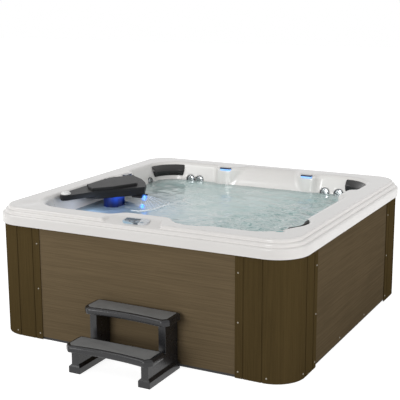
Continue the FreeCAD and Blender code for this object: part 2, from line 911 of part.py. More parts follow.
def pillow():
    """A crowned pad along a conical wall, thinner towards its ends, centred on local +X."""
    low_r = cone_radius(pillow_low) - pillow_gap
    high_r = cone_radius(pillow_high) - pillow_gap
    rings = []
    for i in range(pillow_sections + 1):
        share = 2 * i / pillow_sections - 1
        swell = pillow_end_share + (1 - pillow_end_share) * math.sqrt(1 - share * share)
        edge = pillow_edge * swell
        front = (low_r + high_r) / 2 - pillow_t * swell
        crown = pillow_crown
        profile = [(low_r, pillow_low), (high_r, pillow_high), (high_r - edge, pillow_high),
                   (front, pillow_high - crown), (front, pillow_low + crown), (low_r - edge, pillow_low)]
        turn = math.radians(pillow_angle / 2) * share
        rings.append([Vec(r * math.cos(turn), r * math.sin(turn), z) for r, z in profile])
    return skinned(rings, True)


def placed_pillow(centre, turn):
    pad = pillow()
    pad.rotate(ORIGIN, UP, turn)
    pad.translate(Vec(centre[0], centre[1], 0))
    return pad


# Footwell fittings

def suction_covers():
    points = [(cover_tail_r, -cover_tail), (cover_tail_r, 0), (cover_r, 0), (cover_r, cover_edge),
              (cover_r - cover_bevel, cover_t)]
    return [faceted(points, Vec(-foot_half, y, cover_z), Vec(1, 0, 0)) for y in (-cover_place, cover_place)]


def footwell_light():
    points = [(light_r, 0), (light_r, light_edge), (light_r - light_bevel, light_t)]
    return faceted(points, Vec(0, -foot_half, light_z), Vec(0, 1, 0))


# Light outlets

def outlet_lens(side, place):
    along = pedestals[side][0] + place
    face = pedestal_face(side)
    low = rim_top - outlet_top_drop - outlet_cap_h - outlet_lens_h
    y = (face - outlet_proud / 2, face + outlet_depth)
    return to_side(box((along - outlet_half, along + outlet_half), y, (low, low + outlet_lens_h)), side)


def outlet_cap(side, place):
    along = pedestals[side][0] + place
    face = pedestal_face(side)
    top = rim_top - outlet_top_drop
    y = (face - outlet_proud, face + outlet_depth)
    return to_side(box((along - outlet_half, along + outlet_half), y, (top - outlet_cap_h, top)), side)


# Filter unit

def shrunk(points, by):
    """The outline drawn in by a wall's thickness."""
    corners = [Vec(x, y, 0) for x, y in points]
    wire = Part.makePolygon(corners + [corners[0]])
    return Part.Face(wire.makeOffset2D(-by, 2))


def hollowed(points, z, wall, roof):
    """An upside-down tray: walls along the outline under a roof."""
    inside = shrunk(points, wall)
    inside.translate(Vec(0, 0, z[0] - overrun))
    inside = inside.extrude(Vec(0, 0, z[1] - z[0] - roof + overrun))
    return polygon_prism(points, z), inside


def hinge_z():
    return rim_top + hinge_rise


def hinge_rod(radius, low_y, high_y):
    return rod(radius, Vec(hinge_x, low_y, hinge_z()), Vec(hinge_x, high_y, hinge_z()))


def from_rim(points):
    """Places given from the rim's left inner edge, as places in the part."""
    return [(x - bowl_half_rim, y) for x, y in points]


def filter_deck():
    outline = from_rim(deck_tip + deck_front + deck_back)
    low = rim_top - deck_t
    deck, inside = hollowed(outline, (low, rim_top), deck_wall, deck_plate)
    skirt_outline = from_rim(deck_front + skirt_back)
    skirt, skirt_inside = hollowed(skirt_outline, (low - skirt_h, low), deck_wall, 0)
    skirt = skirt.cut(skirt_inside)
    body = deck.cut(inside).fuse(skirt)
    x, y = housing_centre
    through = [(access_r, rim_top - overrun), (access_r, rim_top + overrun)]
    holes = [faceted(through, Vec(x, y, 0), UP, access_sides)]
    x, y = knob_place
    holes.append(rod(knob_stem_r + running_gap, Vec(x, y, rim_top - overrun), Vec(x, y, rim_top + overrun)))
    body = body.cut(Part.makeCompound(holes))
    lugs = []
    for start in (hinge_low_y - running_gap - hinge_lug, hinge_high_y + running_gap):
        end = start + hinge_lug
        block = box((hinge_x - hinge_r, hinge_x + hinge_r), (start, end), (rim_top, hinge_z() + hinge_r))
        lugs.append(block.cut(hinge_rod(hinge_pin_r + running_gap, start - overrun, end + overrun)))
    return body.multiFuse(lugs).removeSplitter()


def filter_lid():
    z = (rim_top + running_gap, rim_top + lid_t)
    outline = from_rim(lid_points)
    body, inside = hollowed(outline, z, lid_wall, lid_wall)
    upper = [e for e in body.Edges if e.BoundBox.ZMin > z[1] - running_gap]
    body = body.makeChamfer(lid_bevel, upper).cut(inside)
    barrel = hinge_rod(hinge_r, hinge_low_y, hinge_high_y)
    pin = hinge_rod(hinge_pin_r, hinge_low_y - hinge_lug, hinge_high_y + hinge_lug)
    left = min(outline)[0]
    web_z = (hinge_z() - hinge_pin_r, hinge_z() + hinge_pin_r)
    web = box((hinge_x, left + lid_wall / 2), (hinge_low_y, hinge_high_y), web_z)
    return fused([body, barrel, pin, web])


def filter_housing():
    """The can under the deck, with the weir mouth and the ears its flap hangs in."""
    x, y = housing_centre
    top = rim_top - deck_plate
    place = Vec(x, y, 0)
    can = faceted([(housing_r, arm_z), (housing_r, top)], place, UP, can_sides)
    inner = housing_r - housing_wall
    bore = faceted([(inner, arm_z + housing_floor), (inner, top + overrun)], place, UP, can_sides)
    mouth = box((x, x + housing_r + overrun), (y - mouth_half, y + mouth_half), mouth_z)
    ears = []
    for way in (-1, 1):
        edge = y + way * mouth_half
        ear = box((x + flap_place - hinge_r, x + flap_place + hinge_r), (edge, edge + way * housing_r),
                  (flap_axis_z() - hinge_r, flap_axis_z() + hinge_r))
        ears.append(ear.common(bore))
    reach = mouth_half + hinge_r + running_gap
    axle = rod(flap_pin_r + running_gap, Vec(x + flap_place, y - reach, flap_axis_z()),
               Vec(x + flap_place, y + reach, flap_axis_z()))
    return fused([can.cut(bore).cut(mouth)] + ears).cut(axle)


def flap_axis_z():
    return mouth_z[1] + hinge_r


def weir_flap():
    x, y = housing_centre
    half = mouth_half - flap_gap
    place = x + flap_place
    plate_z = (mouth_z[0] + flap_gap, flap_axis_z())
    plate = box((place - flap_t / 2, place + flap_t / 2), (y - half, y + half), plate_z)
    reach = half + hinge_r
    axle = rod(flap_pin_r, Vec(place, y - reach, flap_axis_z()), Vec(place, y + reach, flap_axis_z()))
    return fused([plate, axle])


def filter_cartridge():
    """Pleated cartridge: a star of folds between two end caps."""
    x, y = housing_centre
    low = arm_z + housing_floor
    high = low + cartridge_h
    star = []
    for i in range(2 * pleat_count):
        r = cartridge_r - (pleat_d if i % 2 else running_gap)
        angle = math.pi * i / pleat_count
        star.append((x + r * math.cos(angle), y + r * math.sin(angle)))
    caps = [faceted([(cartridge_r, z), (cartridge_r, z + cartridge_cap_t)], Vec(x, y, 0), UP, can_sides)
            for z in (low, high - cartridge_cap_t)]
    core = faceted([(cartridge_core_r, low - overrun), (cartridge_core_r, high + overrun)], Vec(x, y, 0))
    return fused([polygon_prism(star, (low, high))] + caps).cut(core)


def waterfall_spout():
    top = rim_top - deck_t - skirt_h
    body = box(spout_x, spout_y, (top - spout_h, top))
    slot_z = top - spout_h / 2
    slot_y = (spout_y[0] + deck_wall, spout_y[1] - deck_wall)
    return body.cut(box((spout_x[0] + deck_wall, spout_x[1] + overrun), slot_y,
                        (slot_z - spout_slot / 2, slot_z + spout_slot / 2)))


def waterfall_lens():
    top = rim_top - deck_t - skirt_h - spout_h
    y = (spout_y[0] + spout_h, spout_y[1] - spout_h)
    return box((spout_x[1] - spout_h, spout_x[1]), y, (top - spout_lens_t, top))


def air_knob():
    low = rim_top + knob_rise
    points = [(knob_stem_r, low - knob_stem_len), (knob_stem_r, low), (knob_r, low),
              (knob_r, low + knob_h - knob_bevel), (knob_r - knob_bevel, low + knob_h)]
    return faceted(points, Vec(knob_place[0], knob_place[1], 0))


# Control display

def on_pad(shape):
    """Move a shape drawn flat at the origin onto the leaning control pad."""
    moved = shape.copy()
    moved.rotate(ORIGIN, Vec(1, 0, 0), math.degrees(math.atan(pad_slope())))
    y = pad_start + display_from_start
    moved.translate(Vec(display_x, -y, rim_top - pad_slope() * display_from_start))
    return moved


def button_prism(x, grow, z):
    half = button_half + grow
    depth = button_depth + grow
    points = [(half, depth - button_cut), (half - button_cut, depth), (button_cut - half, depth),
              (-half, depth - button_cut), (-half, button_cut - depth), (button_cut - half, -depth),
              (half - button_cut, -depth), (half, button_cut - depth)]
    return polygon_prism([(x + px, py - button_shift) for px, py in points], z)


def window_block(top):
    return box((window_place - window_half, window_place + window_half),
               (window_shift - window_depth, window_shift + window_depth), (display_t - window_t, top))


def display_housing():
    body = rounded_prism(display_half, display_depth, display_r, (0, display_t))
    cuts = [window_block(display_t + overrun)]
    for x in button_xs:
        cuts.append(button_prism(x, button_gap, (button_floor, display_t + overrun)))
    return on_pad(body.cut(Part.makeCompound(cuts)))


def display_window():
    return on_pad(window_block(display_t))


def button(x):
    z = (button_floor + button_travel + running_gap, display_t + button_proud)
    return on_pad(button_prism(x, 0, z))


# Equipment

def along_x(radius, x, y, z):
    return faceted([(radius, x[0]), (radius, x[1])], Vec(0, y, z), Vec(1, 0, 0))


def pump_motor():
    collar_r = motor_r + motor_collar_step
    collar_end = motor_x[0] + motor_collar
    points = [(collar_r, motor_x[0]), (collar_r, collar_end), (motor_r, collar_end), (motor_r, motor_x[1])]
    body = faceted(points, Vec(0, pump_y, pump_z), Vec(1, 0, 0))
    foot_x = (motor_x[0] + motor_foot_inset, motor_x[1] - motor_foot_inset)
    foot = box(foot_x, (pump_y - motor_foot_w / 2, pump_y + motor_foot_w / 2), (pan_t, motor_foot_top))
    return fused([body, foot])


def pump_volute():
    middle = (volute_x[0] + volute_x[1]) / 2
    top = pump_z + volute_r + port_len
    front = volute_x[1] - volute_wall
    body = along_x(volute_r, volute_x, pump_y, pump_z)
    inlet = along_x(port_r, (front, volute_x[1] + port_len), pump_y, pump_z)
    outlet = faceted([(port_r, pump_z + volute_r - volute_wall), (port_r, top)], Vec(middle, pump_y, 0))
    bores = [along_x(volute_r - volute_wall, (volute_x[0] + volute_wall, front), pump_y, pump_z),
             along_x(shaft_r + shaft_gap, (volute_x[0] - overrun, volute_x[0] + volute_wall), pump_y, pump_z),
             along_x(port_bore_r, (front, volute_x[1] + port_len + overrun), pump_y, pump_z),
             faceted([(port_bore_r, pump_z), (port_bore_r, top + overrun)], Vec(middle, pump_y, 0))]
    return fused([body, inlet, outlet]).cut(fused(bores))


def pump_rotor():
    start = volute_x[0] + volute_wall + impeller_gap
    end = start + impeller_t
    plate = along_x(impeller_r, (start, start + impeller_plate), pump_y, pump_z)
    hub = along_x(impeller_hub_r, (start, end), pump_y, pump_z)
    shaft = along_x(shaft_r, (volute_x[0] + running_gap, end), pump_y, pump_z)
    vanes = []
    for i in range(vane_count):
        thick = (pump_z - vane_t / 2, pump_z + vane_t / 2)
        vane = box((start, end), (pump_y, pump_y + impeller_r - vane_t), thick)
        vane.rotate(Vec(0, pump_y, pump_z), Vec(1, 0, 0), 4 * quarter_turn * i / vane_count)
        vanes.append(vane)
    return fused([plate, hub, shaft] + vanes)


def circulation_pump():
    x, y = small_pump_centre
    half = small_pump_base
    base_top = pan_t + small_pump_base_h
    top = base_top + small_pump_h
    base = box((x - half, x + half), (y - half, y + half), (pan_t, base_top))
    points = [(small_pump_r, base_top), (small_pump_r, top), (small_pump_neck_r, top),
              (small_pump_neck_r, top + small_pump_neck_h)]
    return fused([base, faceted(points, Vec(x, y, 0))])


def heater():
    points = []
    for x in (heater_x[0] - heater_union_l / 2, heater_x[1] - heater_union_l / 2):
        end = x + heater_union_l
        points += [(heater_r, x), (heater_union_r, x), (heater_union_r, end), (heater_r, end)]
    body = faceted(points[1:-1], Vec(0, heater_y, heater_z), Vec(1, 0, 0))
    feet = [box((x, x + heater_foot_w), (heater_y - heater_r, heater_y + heater_r), (pan_t, heater_z))
            for x in (heater_x[0] + 2 * heater_union_l, heater_x[1] - 3 * heater_union_l)]
    return fused([body] + feet)


def control_box():
    z = (pan_t + rail_h, box_z)
    body = box(box_x, box_y, z)
    cover = box((box_x[0] - box_cover_rim, box_x[1] + box_cover_rim), (box_y[1] - box_cover_t, box_y[1]),
                (z[0], z[1] + box_cover_rim))
    return fused([body, cover])


def pipe_run(points):
    """One pipe with mitred corners along a line of points."""
    ways = [(points[i + 1] - points[i]).normalize() for i in range(len(points) - 1)]
    across = ways[0].cross(Vec(ways[0].y, ways[0].z, ways[0].x))
    level = ways[0].cross(across)
    turns = [2 * math.pi * (i + 0.5) / facet_sides for i in range(facet_sides)]
    ring = [points[0] + across * (pipe_r * math.cos(t)) + level * (pipe_r * math.sin(t)) for t in turns]
    rings = [ring]
    for i, way in enumerate(ways):
        end = points[i + 1]
        mitre = way + ways[i + 1] if i + 1 < len(ways) else way
        ring = [corner + way * ((end - corner).dot(mitre) / way.dot(mitre)) for corner in ring]
        rings.append(ring)
    return skinned(rings)


def water_pipes():
    tail_x = -foot_half - cover_tail
    pump_port = volute_x[1] + port_len
    suction = pipe_run([Vec(tail_x, cover_place, cover_z), Vec(suction_x, cover_place, cover_z),
                        Vec(suction_x, pump_y, cover_z), Vec(suction_x, pump_y, pump_z),
                        Vec(pump_port, pump_y, pump_z)])
    branch = pipe_run([Vec(tail_x, -cover_place, cover_z), Vec(suction_x, -cover_place, cover_z)])
    middle = (volute_x[0] + volute_x[1]) / 2
    outlet_top = pump_z + volute_r + port_len
    supply = pipe_run([Vec(middle, pump_y, outlet_top), Vec(middle, pump_y, riser_z),
                       Vec(middle, -pipe_line, riser_z), Vec(-pipe_line, -pipe_line, riser_z),
                       Vec(-pipe_line, -pipe_line, water_z),
                       Vec(-pipe_line, pipe_line, water_z), Vec(manifold_end, pipe_line, water_z)])
    x, y = small_pump_centre
    neck = pan_t + small_pump_base_h + small_pump_h + small_pump_neck_h
    heater_top = heater_z + heater_r * math.cos(math.pi / facet_sides)
    to_heater = pipe_run([Vec(x, y, neck), Vec(x, y, heat_pipe_z), Vec(heat_pipe_x, y, heat_pipe_z),
                          Vec(heat_pipe_x, heater_y, heat_pipe_z), Vec(heat_pipe_x, heater_y, heater_top)])
    back = pipe_run([Vec(return_x, heater_y, heater_top), Vec(return_x, heater_y, heat_pipe_z),
                     Vec(return_x, -foot_half - shell_t, heat_pipe_z)])
    return [fused([suction, branch]), supply, to_heater, back]


# Drain

def drain_valve():
    points = [(drain_r, -drain_in), (drain_r, 0), (drain_flange_r, 0), (drain_flange_r, drain_flange_t),
              (drain_r, drain_flange_t), (drain_r, drain_out)]
    bore = [(drain_bore_r, -drain_in / 2), (drain_bore_r, drain_out + overrun)]
    place = Vec(drain_x, cabinet_half - flange_t, drain_z)
    axis = Vec(0, 1, 0)
    return faceted(points, place, axis).cut(faceted(bore, place, axis))


def drain_cap():
    low = drain_flange_t + running_gap
    end = drain_out + running_gap
    inner = drain_r + running_gap
    place = Vec(drain_x, cabinet_half - flange_t, drain_z)
    axis = Vec(0, 1, 0)
    body = faceted([(cap_r, low), (cap_r, end + cap_t)], place, axis)
    return body.cut(faceted([(inner, 0), (inner, end)], place, axis))


# Step

def tread_outline(z):
    """Plan of a tread: chamfered corners and a front edge that bows inwards."""
    half = tread_half
    front = -tread_depth
    corners = [Vec(half - tread_chamfer, front, z), Vec(half, front + tread_chamfer, z),
               Vec(half, -tread_back_chamfer, z), Vec(half - tread_back_chamfer, 0, z),
               Vec(tread_back_chamfer - half, 0, z), Vec(-half, -tread_back_chamfer, z),
               Vec(-half, front + tread_chamfer, z), Vec(tread_chamfer - half, front, z)]
    edges = [Part.LineSegment(corners[i], corners[i + 1]).toShape() for i in range(len(corners) - 1)]
    edges.append(Part.Arc(corners[-1], Vec(0, front + tread_bow, z), corners[0]).toShape())
    return Part.Wire(edges)


def on_floor(shape, back):
    moved = shape.copy()
    moved.translate(Vec(step_x, step_back - back, 0))
    return moved


def tread(top, back):
    body = Part.Face(tread_outline(top - tread_t)).extrude(Vec(0, 0, tread_t))
    rims = [e for e in body.Edges if e.BoundBox.ZLength < running_gap]
    return on_floor(body.makeChamfer(tread_bevel, rims), back)


def tread_mat(top, back):
    outline = tread_outline(top).makeOffset2D(-mat_inset, 2)
    return on_floor(Part.Face(outline).extrude(Vec(0, 0, mat_t)), back)


def step_side(way):
    """One side wall of the step: two heights of wall on a wider foot."""
    wall_back = -(tread_depth - side_front_inset)
    wall_front = -(lower_back + tread_depth - side_front_inset)
    profile = [(0, 0), (0, upper_top - tread_t), (wall_back, upper_top - tread_t),
               (wall_back, lower_top - tread_t), (wall_front, lower_top - tread_t), (wall_front, 0)]
    x = way * side_middle - side_t / 2
    corners = [Vec(x, y, z) for y, z in profile]
    wall = Part.Face(Part.makePolygon(corners + [corners[0]])).extrude(Vec(side_t, 0, 0))
    foot_x = (way * side_middle - foot_w / 2, way * side_middle + foot_w / 2)
    foot = box(foot_x, (wall_front - foot_front_extra, 0), (0, foot_h))
    upper = [e for e in foot.Edges if e.BoundBox.ZMin > foot_h - running_gap]
    return on_floor(foot.makeChamfer(foot_bevel, upper).fuse(wall).removeSplitter(), 0)


def save_all():
    os.makedirs("parts", exist_ok=True)
    save("tub_shell", [tub_shell()])
    holes = [(drain_x, drain_z, drain_hole_r), (cable_x, cable_z, cable_r)]
    for side in side_turn:
        save(side + "_panel", [panel(side, holes if side == "back" else [])])
    for i, name in enumerate(corner_names):
        piece = corner_piece()
        piece.rotate(ORIGIN, UP, i * quarter_turn)
        save(name, [piece])
    save("panel_screws", panel_screws())
    save("base_pan", [base_pan()])
    save("bottom_rails", bottom_rails())
    save("top_rails", top_rails())
    save("frame_posts", frame_posts())
    save("footwell_cradle", [footwell_cradle()])
    save("jet_bodies", [jet_body(*place) for place in jet_places().values()])
    for name, place in jet_places().items():
        save(name, [jet_nozzle(*place)])
    centres = dict(scoop_centres)
    centres["back_right"] = (bowl_corner_centre, bowl_corner_centre)
    centres["back_left"] = (-bowl_corner_centre, bowl_corner_centre)
    for name, centre in centres.items():
        save(name + "_pillow", [placed_pillow(centre, pillow_turns[name])])
    save("suction_covers", suction_covers())
    save("footwell_light", [footwell_light()])
    save("outlet_lenses", [outlet_lens(*place) for place in outlets.values()])
    save("outlet_caps", [outlet_cap(*place) for place in outlets.values()])
    save("filter_deck", [filter_deck()])
    save("filter_lid", [filter_lid()])
    save("filter_housing", [filter_housing()])
    save("filter_cartridge", [filter_cartridge()])
    save("weir_flap", [weir_flap()])
    save("waterfall_spout", [waterfall_spout()])
    save("waterfall_lens", [waterfall_lens()])
    save("air_knob", [air_knob()])
    save("display_housing", [display_housing()])
    save("display_window", [display_window()])
    for name, x in zip(button_names, button_xs):
        save(name, [button(x)])
    save("pump_motor", [pump_motor()])
    save("pump_volute", [pump_volute()])
    save("pump_rotor", [pump_rotor()])
    save("circulation_pump", [circulation_pump()])
    save("heater", [heater()])
    save("control_box", [control_box()])
    save("water_pipes", water_pipes())
    save("drain_valve", [drain_valve()])
    save("drain_cap", [drain_cap()])
    save("step_sides", [step_side(-1), step_side(1)])
    save("step_upper_tread", [tread(upper_top, 0)])
    save("step_lower_tread", [tread(lower_top, lower_back)])
    save("step_mats", [tread_mat(upper_top, 0), tread_mat(lower_top, lower_back)])


save_all()
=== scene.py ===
# Looks of the hot tub: the moulded shell and its lip, water, pillows, jets, filter unit,
# cabinet, controls and step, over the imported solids. Metres, +Z up, front towards -Y.
import json
from math import copysign, cos, pi, radians, sin, sqrt

import bmesh
import bpy
import numpy as np
from mathutils import Matrix, Vector

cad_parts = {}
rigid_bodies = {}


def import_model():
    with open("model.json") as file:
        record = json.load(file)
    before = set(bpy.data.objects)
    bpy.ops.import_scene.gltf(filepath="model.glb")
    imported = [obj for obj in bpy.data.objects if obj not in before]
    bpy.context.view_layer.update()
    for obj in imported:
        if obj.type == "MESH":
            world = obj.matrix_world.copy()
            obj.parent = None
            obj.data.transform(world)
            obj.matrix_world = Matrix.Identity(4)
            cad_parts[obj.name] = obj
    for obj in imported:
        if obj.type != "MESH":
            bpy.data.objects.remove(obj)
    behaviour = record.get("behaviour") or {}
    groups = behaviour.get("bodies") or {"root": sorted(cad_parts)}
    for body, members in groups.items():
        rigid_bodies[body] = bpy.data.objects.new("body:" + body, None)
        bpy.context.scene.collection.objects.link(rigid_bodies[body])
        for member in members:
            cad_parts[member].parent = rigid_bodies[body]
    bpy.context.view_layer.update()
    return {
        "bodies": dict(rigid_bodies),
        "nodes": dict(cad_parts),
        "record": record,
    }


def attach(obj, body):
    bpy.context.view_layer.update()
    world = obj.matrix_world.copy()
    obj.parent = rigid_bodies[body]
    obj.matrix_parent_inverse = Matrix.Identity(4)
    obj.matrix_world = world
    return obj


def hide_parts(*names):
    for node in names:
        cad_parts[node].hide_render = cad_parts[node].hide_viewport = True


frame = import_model()
NODES = frame["nodes"]
SLOT_OF = {part["node"]: part["material_slot"] for part in frame["record"]["subparts"]}


# Finishes

def painted(red, green, blue):
    """A display colour, 0 to 255, as the linear colour a shader takes."""
    parts = [value / 255 for value in (red, green, blue)]
    return [v / 12.92 if v <= 0.04045 else ((v + 0.055) / 1.055) ** 2.4 for v in parts] + [1.0]


def maths(operation, swapped=False, clamp=False):
    """A method that puts a value, and what it is combined with, through a Math node."""
    def method(value, *others):
        terms = (*others, value) if swapped else (value, *others)
        settings = {"operation": operation, "use_clamp": clamp}
        return value.tree.out(value.tree.node("ShaderNodeMath", settings, dict(enumerate(terms))))
    return method


class Value:
    """A socket in a tree; Python's operators on it add Math nodes."""

    def __init__(self, tree, socket):
        self.tree = tree
        self.socket = socket

    __add__ = __radd__ = maths("ADD")
    __sub__ = maths("SUBTRACT")
    __rsub__ = maths("SUBTRACT", swapped=True)
    __mul__ = maths("MULTIPLY")
    __truediv__ = maths("DIVIDE")
    __pow__ = maths("POWER")
    __abs__ = maths("ABSOLUTE")
    root = maths("SQRT")
    sine = maths("SINE")
    held = maths("ADD", clamp=True)

    def clamped(self):
        """The value, held between 0 and 1."""
        return self.held(0.0)

    def rising(self, low, high):
        """0 below low, 1 above high, smooth between."""
        settings = {"interpolation_type": "SMOOTHSTEP"}
        return self.tree.out(self.tree.node("ShaderNodeMapRange", settings, {0: self, 1: low, 2: high}))


class Tree:
    """A node tree that is built by name, values and links."""

    def __init__(self, tree):
        self.tree = tree

    def node(self, kind, settings=None, values=None):
        node = self.tree.nodes.new(kind)
        for name, setting in (settings or {}).items():
            setattr(node, name, setting)
        for name, value in (values or {}).items():
            self.put(node.inputs[name], value)
        return node

    def put(self, socket, value):
        if isinstance(value, Value):
            self.tree.links.new(value.socket, socket)
        else:
            socket.default_value = value

    def out(self, node, name=0):
        return Value(self, node.outputs[name])


class Finish(Tree):
    """A surface finish: a Principled shader and the patterns that feed it."""

    def __init__(self, name, base, rough=0.5, metal=0.0, **shader):
        self.material = bpy.data.materials.new(name)
        self.material.use_nodes = True
        super().__init__(self.material.node_tree)
        self.tree.nodes.clear()
        values = {"Base Color": base, "Roughness": rough, "Metallic": metal}
        values.update({key.replace("_", " "): value for key, value in shader.items()})
        self.shader = self.node("ShaderNodeBsdfPrincipled", None, values)
        self.output = self.node("ShaderNodeOutputMaterial")
        self.base = base
        self.tree.links.new(self.shader.outputs[0], self.output.inputs[0])

    def set(self, **values):
        for name, value in values.items():
            self.put(self.shader.inputs[name.replace("_", " ")], value)

    def place(self):
        """Object coordinates."""
        return self.out(self.node("ShaderNodeTexCoord"), "Object")

    def axes(self):
        node = self.node("ShaderNodeSeparateXYZ", None, {0: self.place()})
        return [self.out(node, i) for i in range(3)]

    def noise(self, scale, stretch=(1.0, 1.0, 1.0), detail=3.0, rough=0.5, warp=0.0):
        """Noise over the object, finer along an axis that is stretched more."""
        where = self.out(self.node("ShaderNodeMapping", None, {"Vector": self.place(), "Scale": stretch}))
        values = {"Vector": where, "Scale": scale, "Detail": detail, "Roughness": rough, "Distortion": warp}
        return self.out(self.node("ShaderNodeTexNoise", None, values))

    def attribute(self, name):
        """A number that the mesh carries at its points."""
        return self.out(self.node("ShaderNodeAttribute", {"attribute_name": name}), "Fac")

    def mixed(self, share, first, second):
        node = self.node("ShaderNodeMix", {"data_type": "RGBA"}, {0: share, 6: first, 7: second})
        return self.out(node, 2)

    def shaded(self, share, low=0.9, high=1.1):
        """The base colour, from darker to lighter as share goes from 0 to 1."""
        dark = [c * low for c in self.base[:3]] + [1.0]
        light = [min(1.0, c * high) for c in self.base[:3]] + [1.0]
        return self.mixed(share, dark, light)

    def bump(self, height, distance, strength=1.0):
        values = {"Height": height, "Distance": distance, "Strength": strength}
        self.set(Normal=self.out(self.node("ShaderNodeBump", None, values), "Normal"))


def mottled(name, base, rough=0.5, metal=0.0, scale=9.0, spread=0.06, grit=0.0, stretch=(1, 1, 1),
            **shader):
    """A finish with a faint drift of colour and gloss, and grit raised by that many metres."""
    finish = Finish(name, base, rough, metal, **shader)
    drift = finish.noise(scale, stretch)
    finish.set(Base_Color=finish.shaded(drift.rising(0.25, 0.75), 1 - spread, 1 + spread))
    finish.set(Roughness=rough + (drift - 0.5) * 0.12)
    if grit:
        finish.bump(finish.noise(scale * 60, stretch, 2.0), grit, 0.6)
    return finish


def wood_grain(name, base, along_grain, right_shade_depth=0.0):
    """Wood-grain board: long streaks, fine pores and wide bands of tone, and painted shade: lighter towards
    the top, darker towards +X, and darker still on the right side by the amount given.
    """
    finish = Finish(name, base, 0.62, Specular_IOR_Level=0.0)
    streaks = finish.noise(1.0, along_grain, 6.0, 0.62, 0.35)
    pores = finish.noise(1.0, [s * 3.2 for s in along_grain], 3.0, 0.7)
    bands = finish.noise(2.2, detail=2.0)
    lines = (pores.rising(0.52, 0.72) * 0.34 + streaks.rising(0.30, 0.72) * 0.66).clamped()
    x, _, z = finish.axes()
    # Painted shade: the right side darker, the boards darker towards +X and lighter towards the top.
    painted_right_shade = x.rising(1.045, 1.060) * right_shade_depth
    drift = painted_right_shade - x.rising(-0.8, 0.6) * 0.12 + z.rising(0.0, 0.75) * 0.22
    tone = (1 - lines) * 0.66 + bands * 0.34 + drift - 0.06
    finish.set(Base_Color=finish.shaded(tone.clamped(), 0.72, 1.30))
    finish.set(Roughness=0.54 + lines * 0.2)
    finish.bump(1 - lines, 0.0007, 0.55)
    return finish


def glowing(name, base, colour, strength):
    """A lit lens, its glow a little uneven."""
    finish = Finish(name, base, 0.2, Emission_Strength=strength, Coat_Weight=0.3)
    ripple = finish.noise(55.0, detail=2.0)
    dim = [c * 0.72 for c in colour[:3]] + [1.0]
    finish.set(Emission_Color=finish.mixed(ripple.rising(0.3, 0.7), dim, colour))
    finish.set(Base_Color=finish.shaded(ripple))
    return finish


finishes = {
    "acrylic": mottled("acrylic", painted(228, 225, 222), 0.19, scale=3.0, spread=0.012, Coat_Weight=0.4,
                       Coat_Roughness=0.11),
    "cabinet_board": wood_grain("cabinet board", painted(102, 88, 67), (2.4, 2.4, 150.0), -0.36),
    "cabinet_corner": wood_grain("cabinet corner", painted(75, 62, 38), (150.0, 150.0, 2.4)),
    "zinc": mottled("plated steel", painted(152, 146, 134), 0.38, 1.0, scale=300.0),
    "pan": mottled("black pan", painted(26, 25, 25), 0.6, grit=0.0004),
    "timber": wood_grain("frame timber", painted(171, 140, 96), (40.0, 40.0, 6.0)),
    "foam": mottled("cradle foam", painted(206, 198, 178), 0.85, scale=40.0, spread=0.08, grit=0.001),
    "jet_ring": mottled("jet ring", painted(66, 69, 74), 0.28, scale=30.0, Coat_Weight=0.3),
    "jet_steel": mottled("jet steel", painted(205, 208, 210), 0.2, 1.0, scale=60.0),
    "grille": mottled("suction grille", painted(208, 209, 208), 0.4, scale=30.0),
    "lens": glowing("outlet lens", painted(150, 190, 240), painted(120, 178, 255), 0.75),
    "dark_cap": mottled("outlet cap", painted(26, 33, 66), 0.18, scale=40.0, Coat_Weight=0.5),
    "deck": mottled("filter deck", painted(43, 43, 44), 0.45, scale=14.0, spread=0.08, grit=0.0003,
                    Specular_IOR_Level=0.12),
    "filter_media": mottled("filter pleats", painted(226, 230, 232), 0.9, scale=200.0, spread=0.05),
    "knob": mottled("white knob", painted(238, 238, 236), 0.3, scale=40.0, spread=0.01, Coat_Weight=0.2),
    "button": mottled("soft button", painted(150, 164, 178), 0.5, scale=60.0, spread=0.02),
    "motor": mottled("motor paint", painted(44, 48, 54), 0.45, scale=30.0, grit=0.0003),
    "wet_end": mottled("wet end", painted(20, 21, 23), 0.4, scale=30.0),
    "steel": mottled("stainless steel", painted(190, 192, 194), 0.28, 1.0, scale=90.0, stretch=(1, 1, 0.1)),
    "box": mottled("control box", painted(70, 74, 78), 0.5, grit=0.0003),
    "pipe": mottled("water pipe", painted(214, 214, 208), 0.4, scale=12.0, spread=0.02),
    "valve": mottled("drain valve", painted(28, 28, 30), 0.4),
    "step_plastic": mottled("step plastic", painted(28, 28, 30), 0.27, scale=12.0, spread=0.08, grit=0.0002,
                            Specular_IOR_Level=0.5),
    "step_mat": mottled("step mat", painted(117, 117, 116), 0.78, scale=24.0, spread=0.06, grit=0.0012),
}


def can_with_painted_glow():
    """Translucent blue of the filter can, deep navy below, with painted light at its top: lighter and
    glowing as if lit by its lens.
    """
    finish = Finish("filter can", painted(36, 50, 104), 0.3, Specular_IOR_Level=0.25,
                    Emission_Strength=0.24)
    x, _, z = finish.axes()
    # Painted light: the top of the can, by the lens, lighter and glowing.
    lit = (z.rising(0.745, 0.81) * x.rising(-0.70, -0.60)).clamped()
    streak = finish.noise(30.0, (1.0, 1.0, 0.25), 3.0)
    share = (lit * 0.85 + streak * 0.3 - 0.1).clamped()
    finish.set(Base_Color=finish.mixed(share, painted(20, 30, 76), painted(44, 82, 206)),
               Emission_Color=finish.mixed(share, painted(0, 0, 20), painted(46, 96, 230)))
    return finish


def display_glass():
    """Dark blue window glass with a soft pale band of painted reflection."""
    finish = Finish("display glass", painted(24, 44, 62), 0.12, Specular_IOR_Level=0.4)
    x, y, _ = finish.axes()
    # Painted reflection: a soft pale band across the glass.
    band = ((x + 0.02) * 9.0 + y * 4.0).sine().rising(0.2, 0.9)
    finish.set(Base_Color=finish.mixed(band * 0.6, painted(16, 34, 48), painted(50, 84, 108)))
    return finish


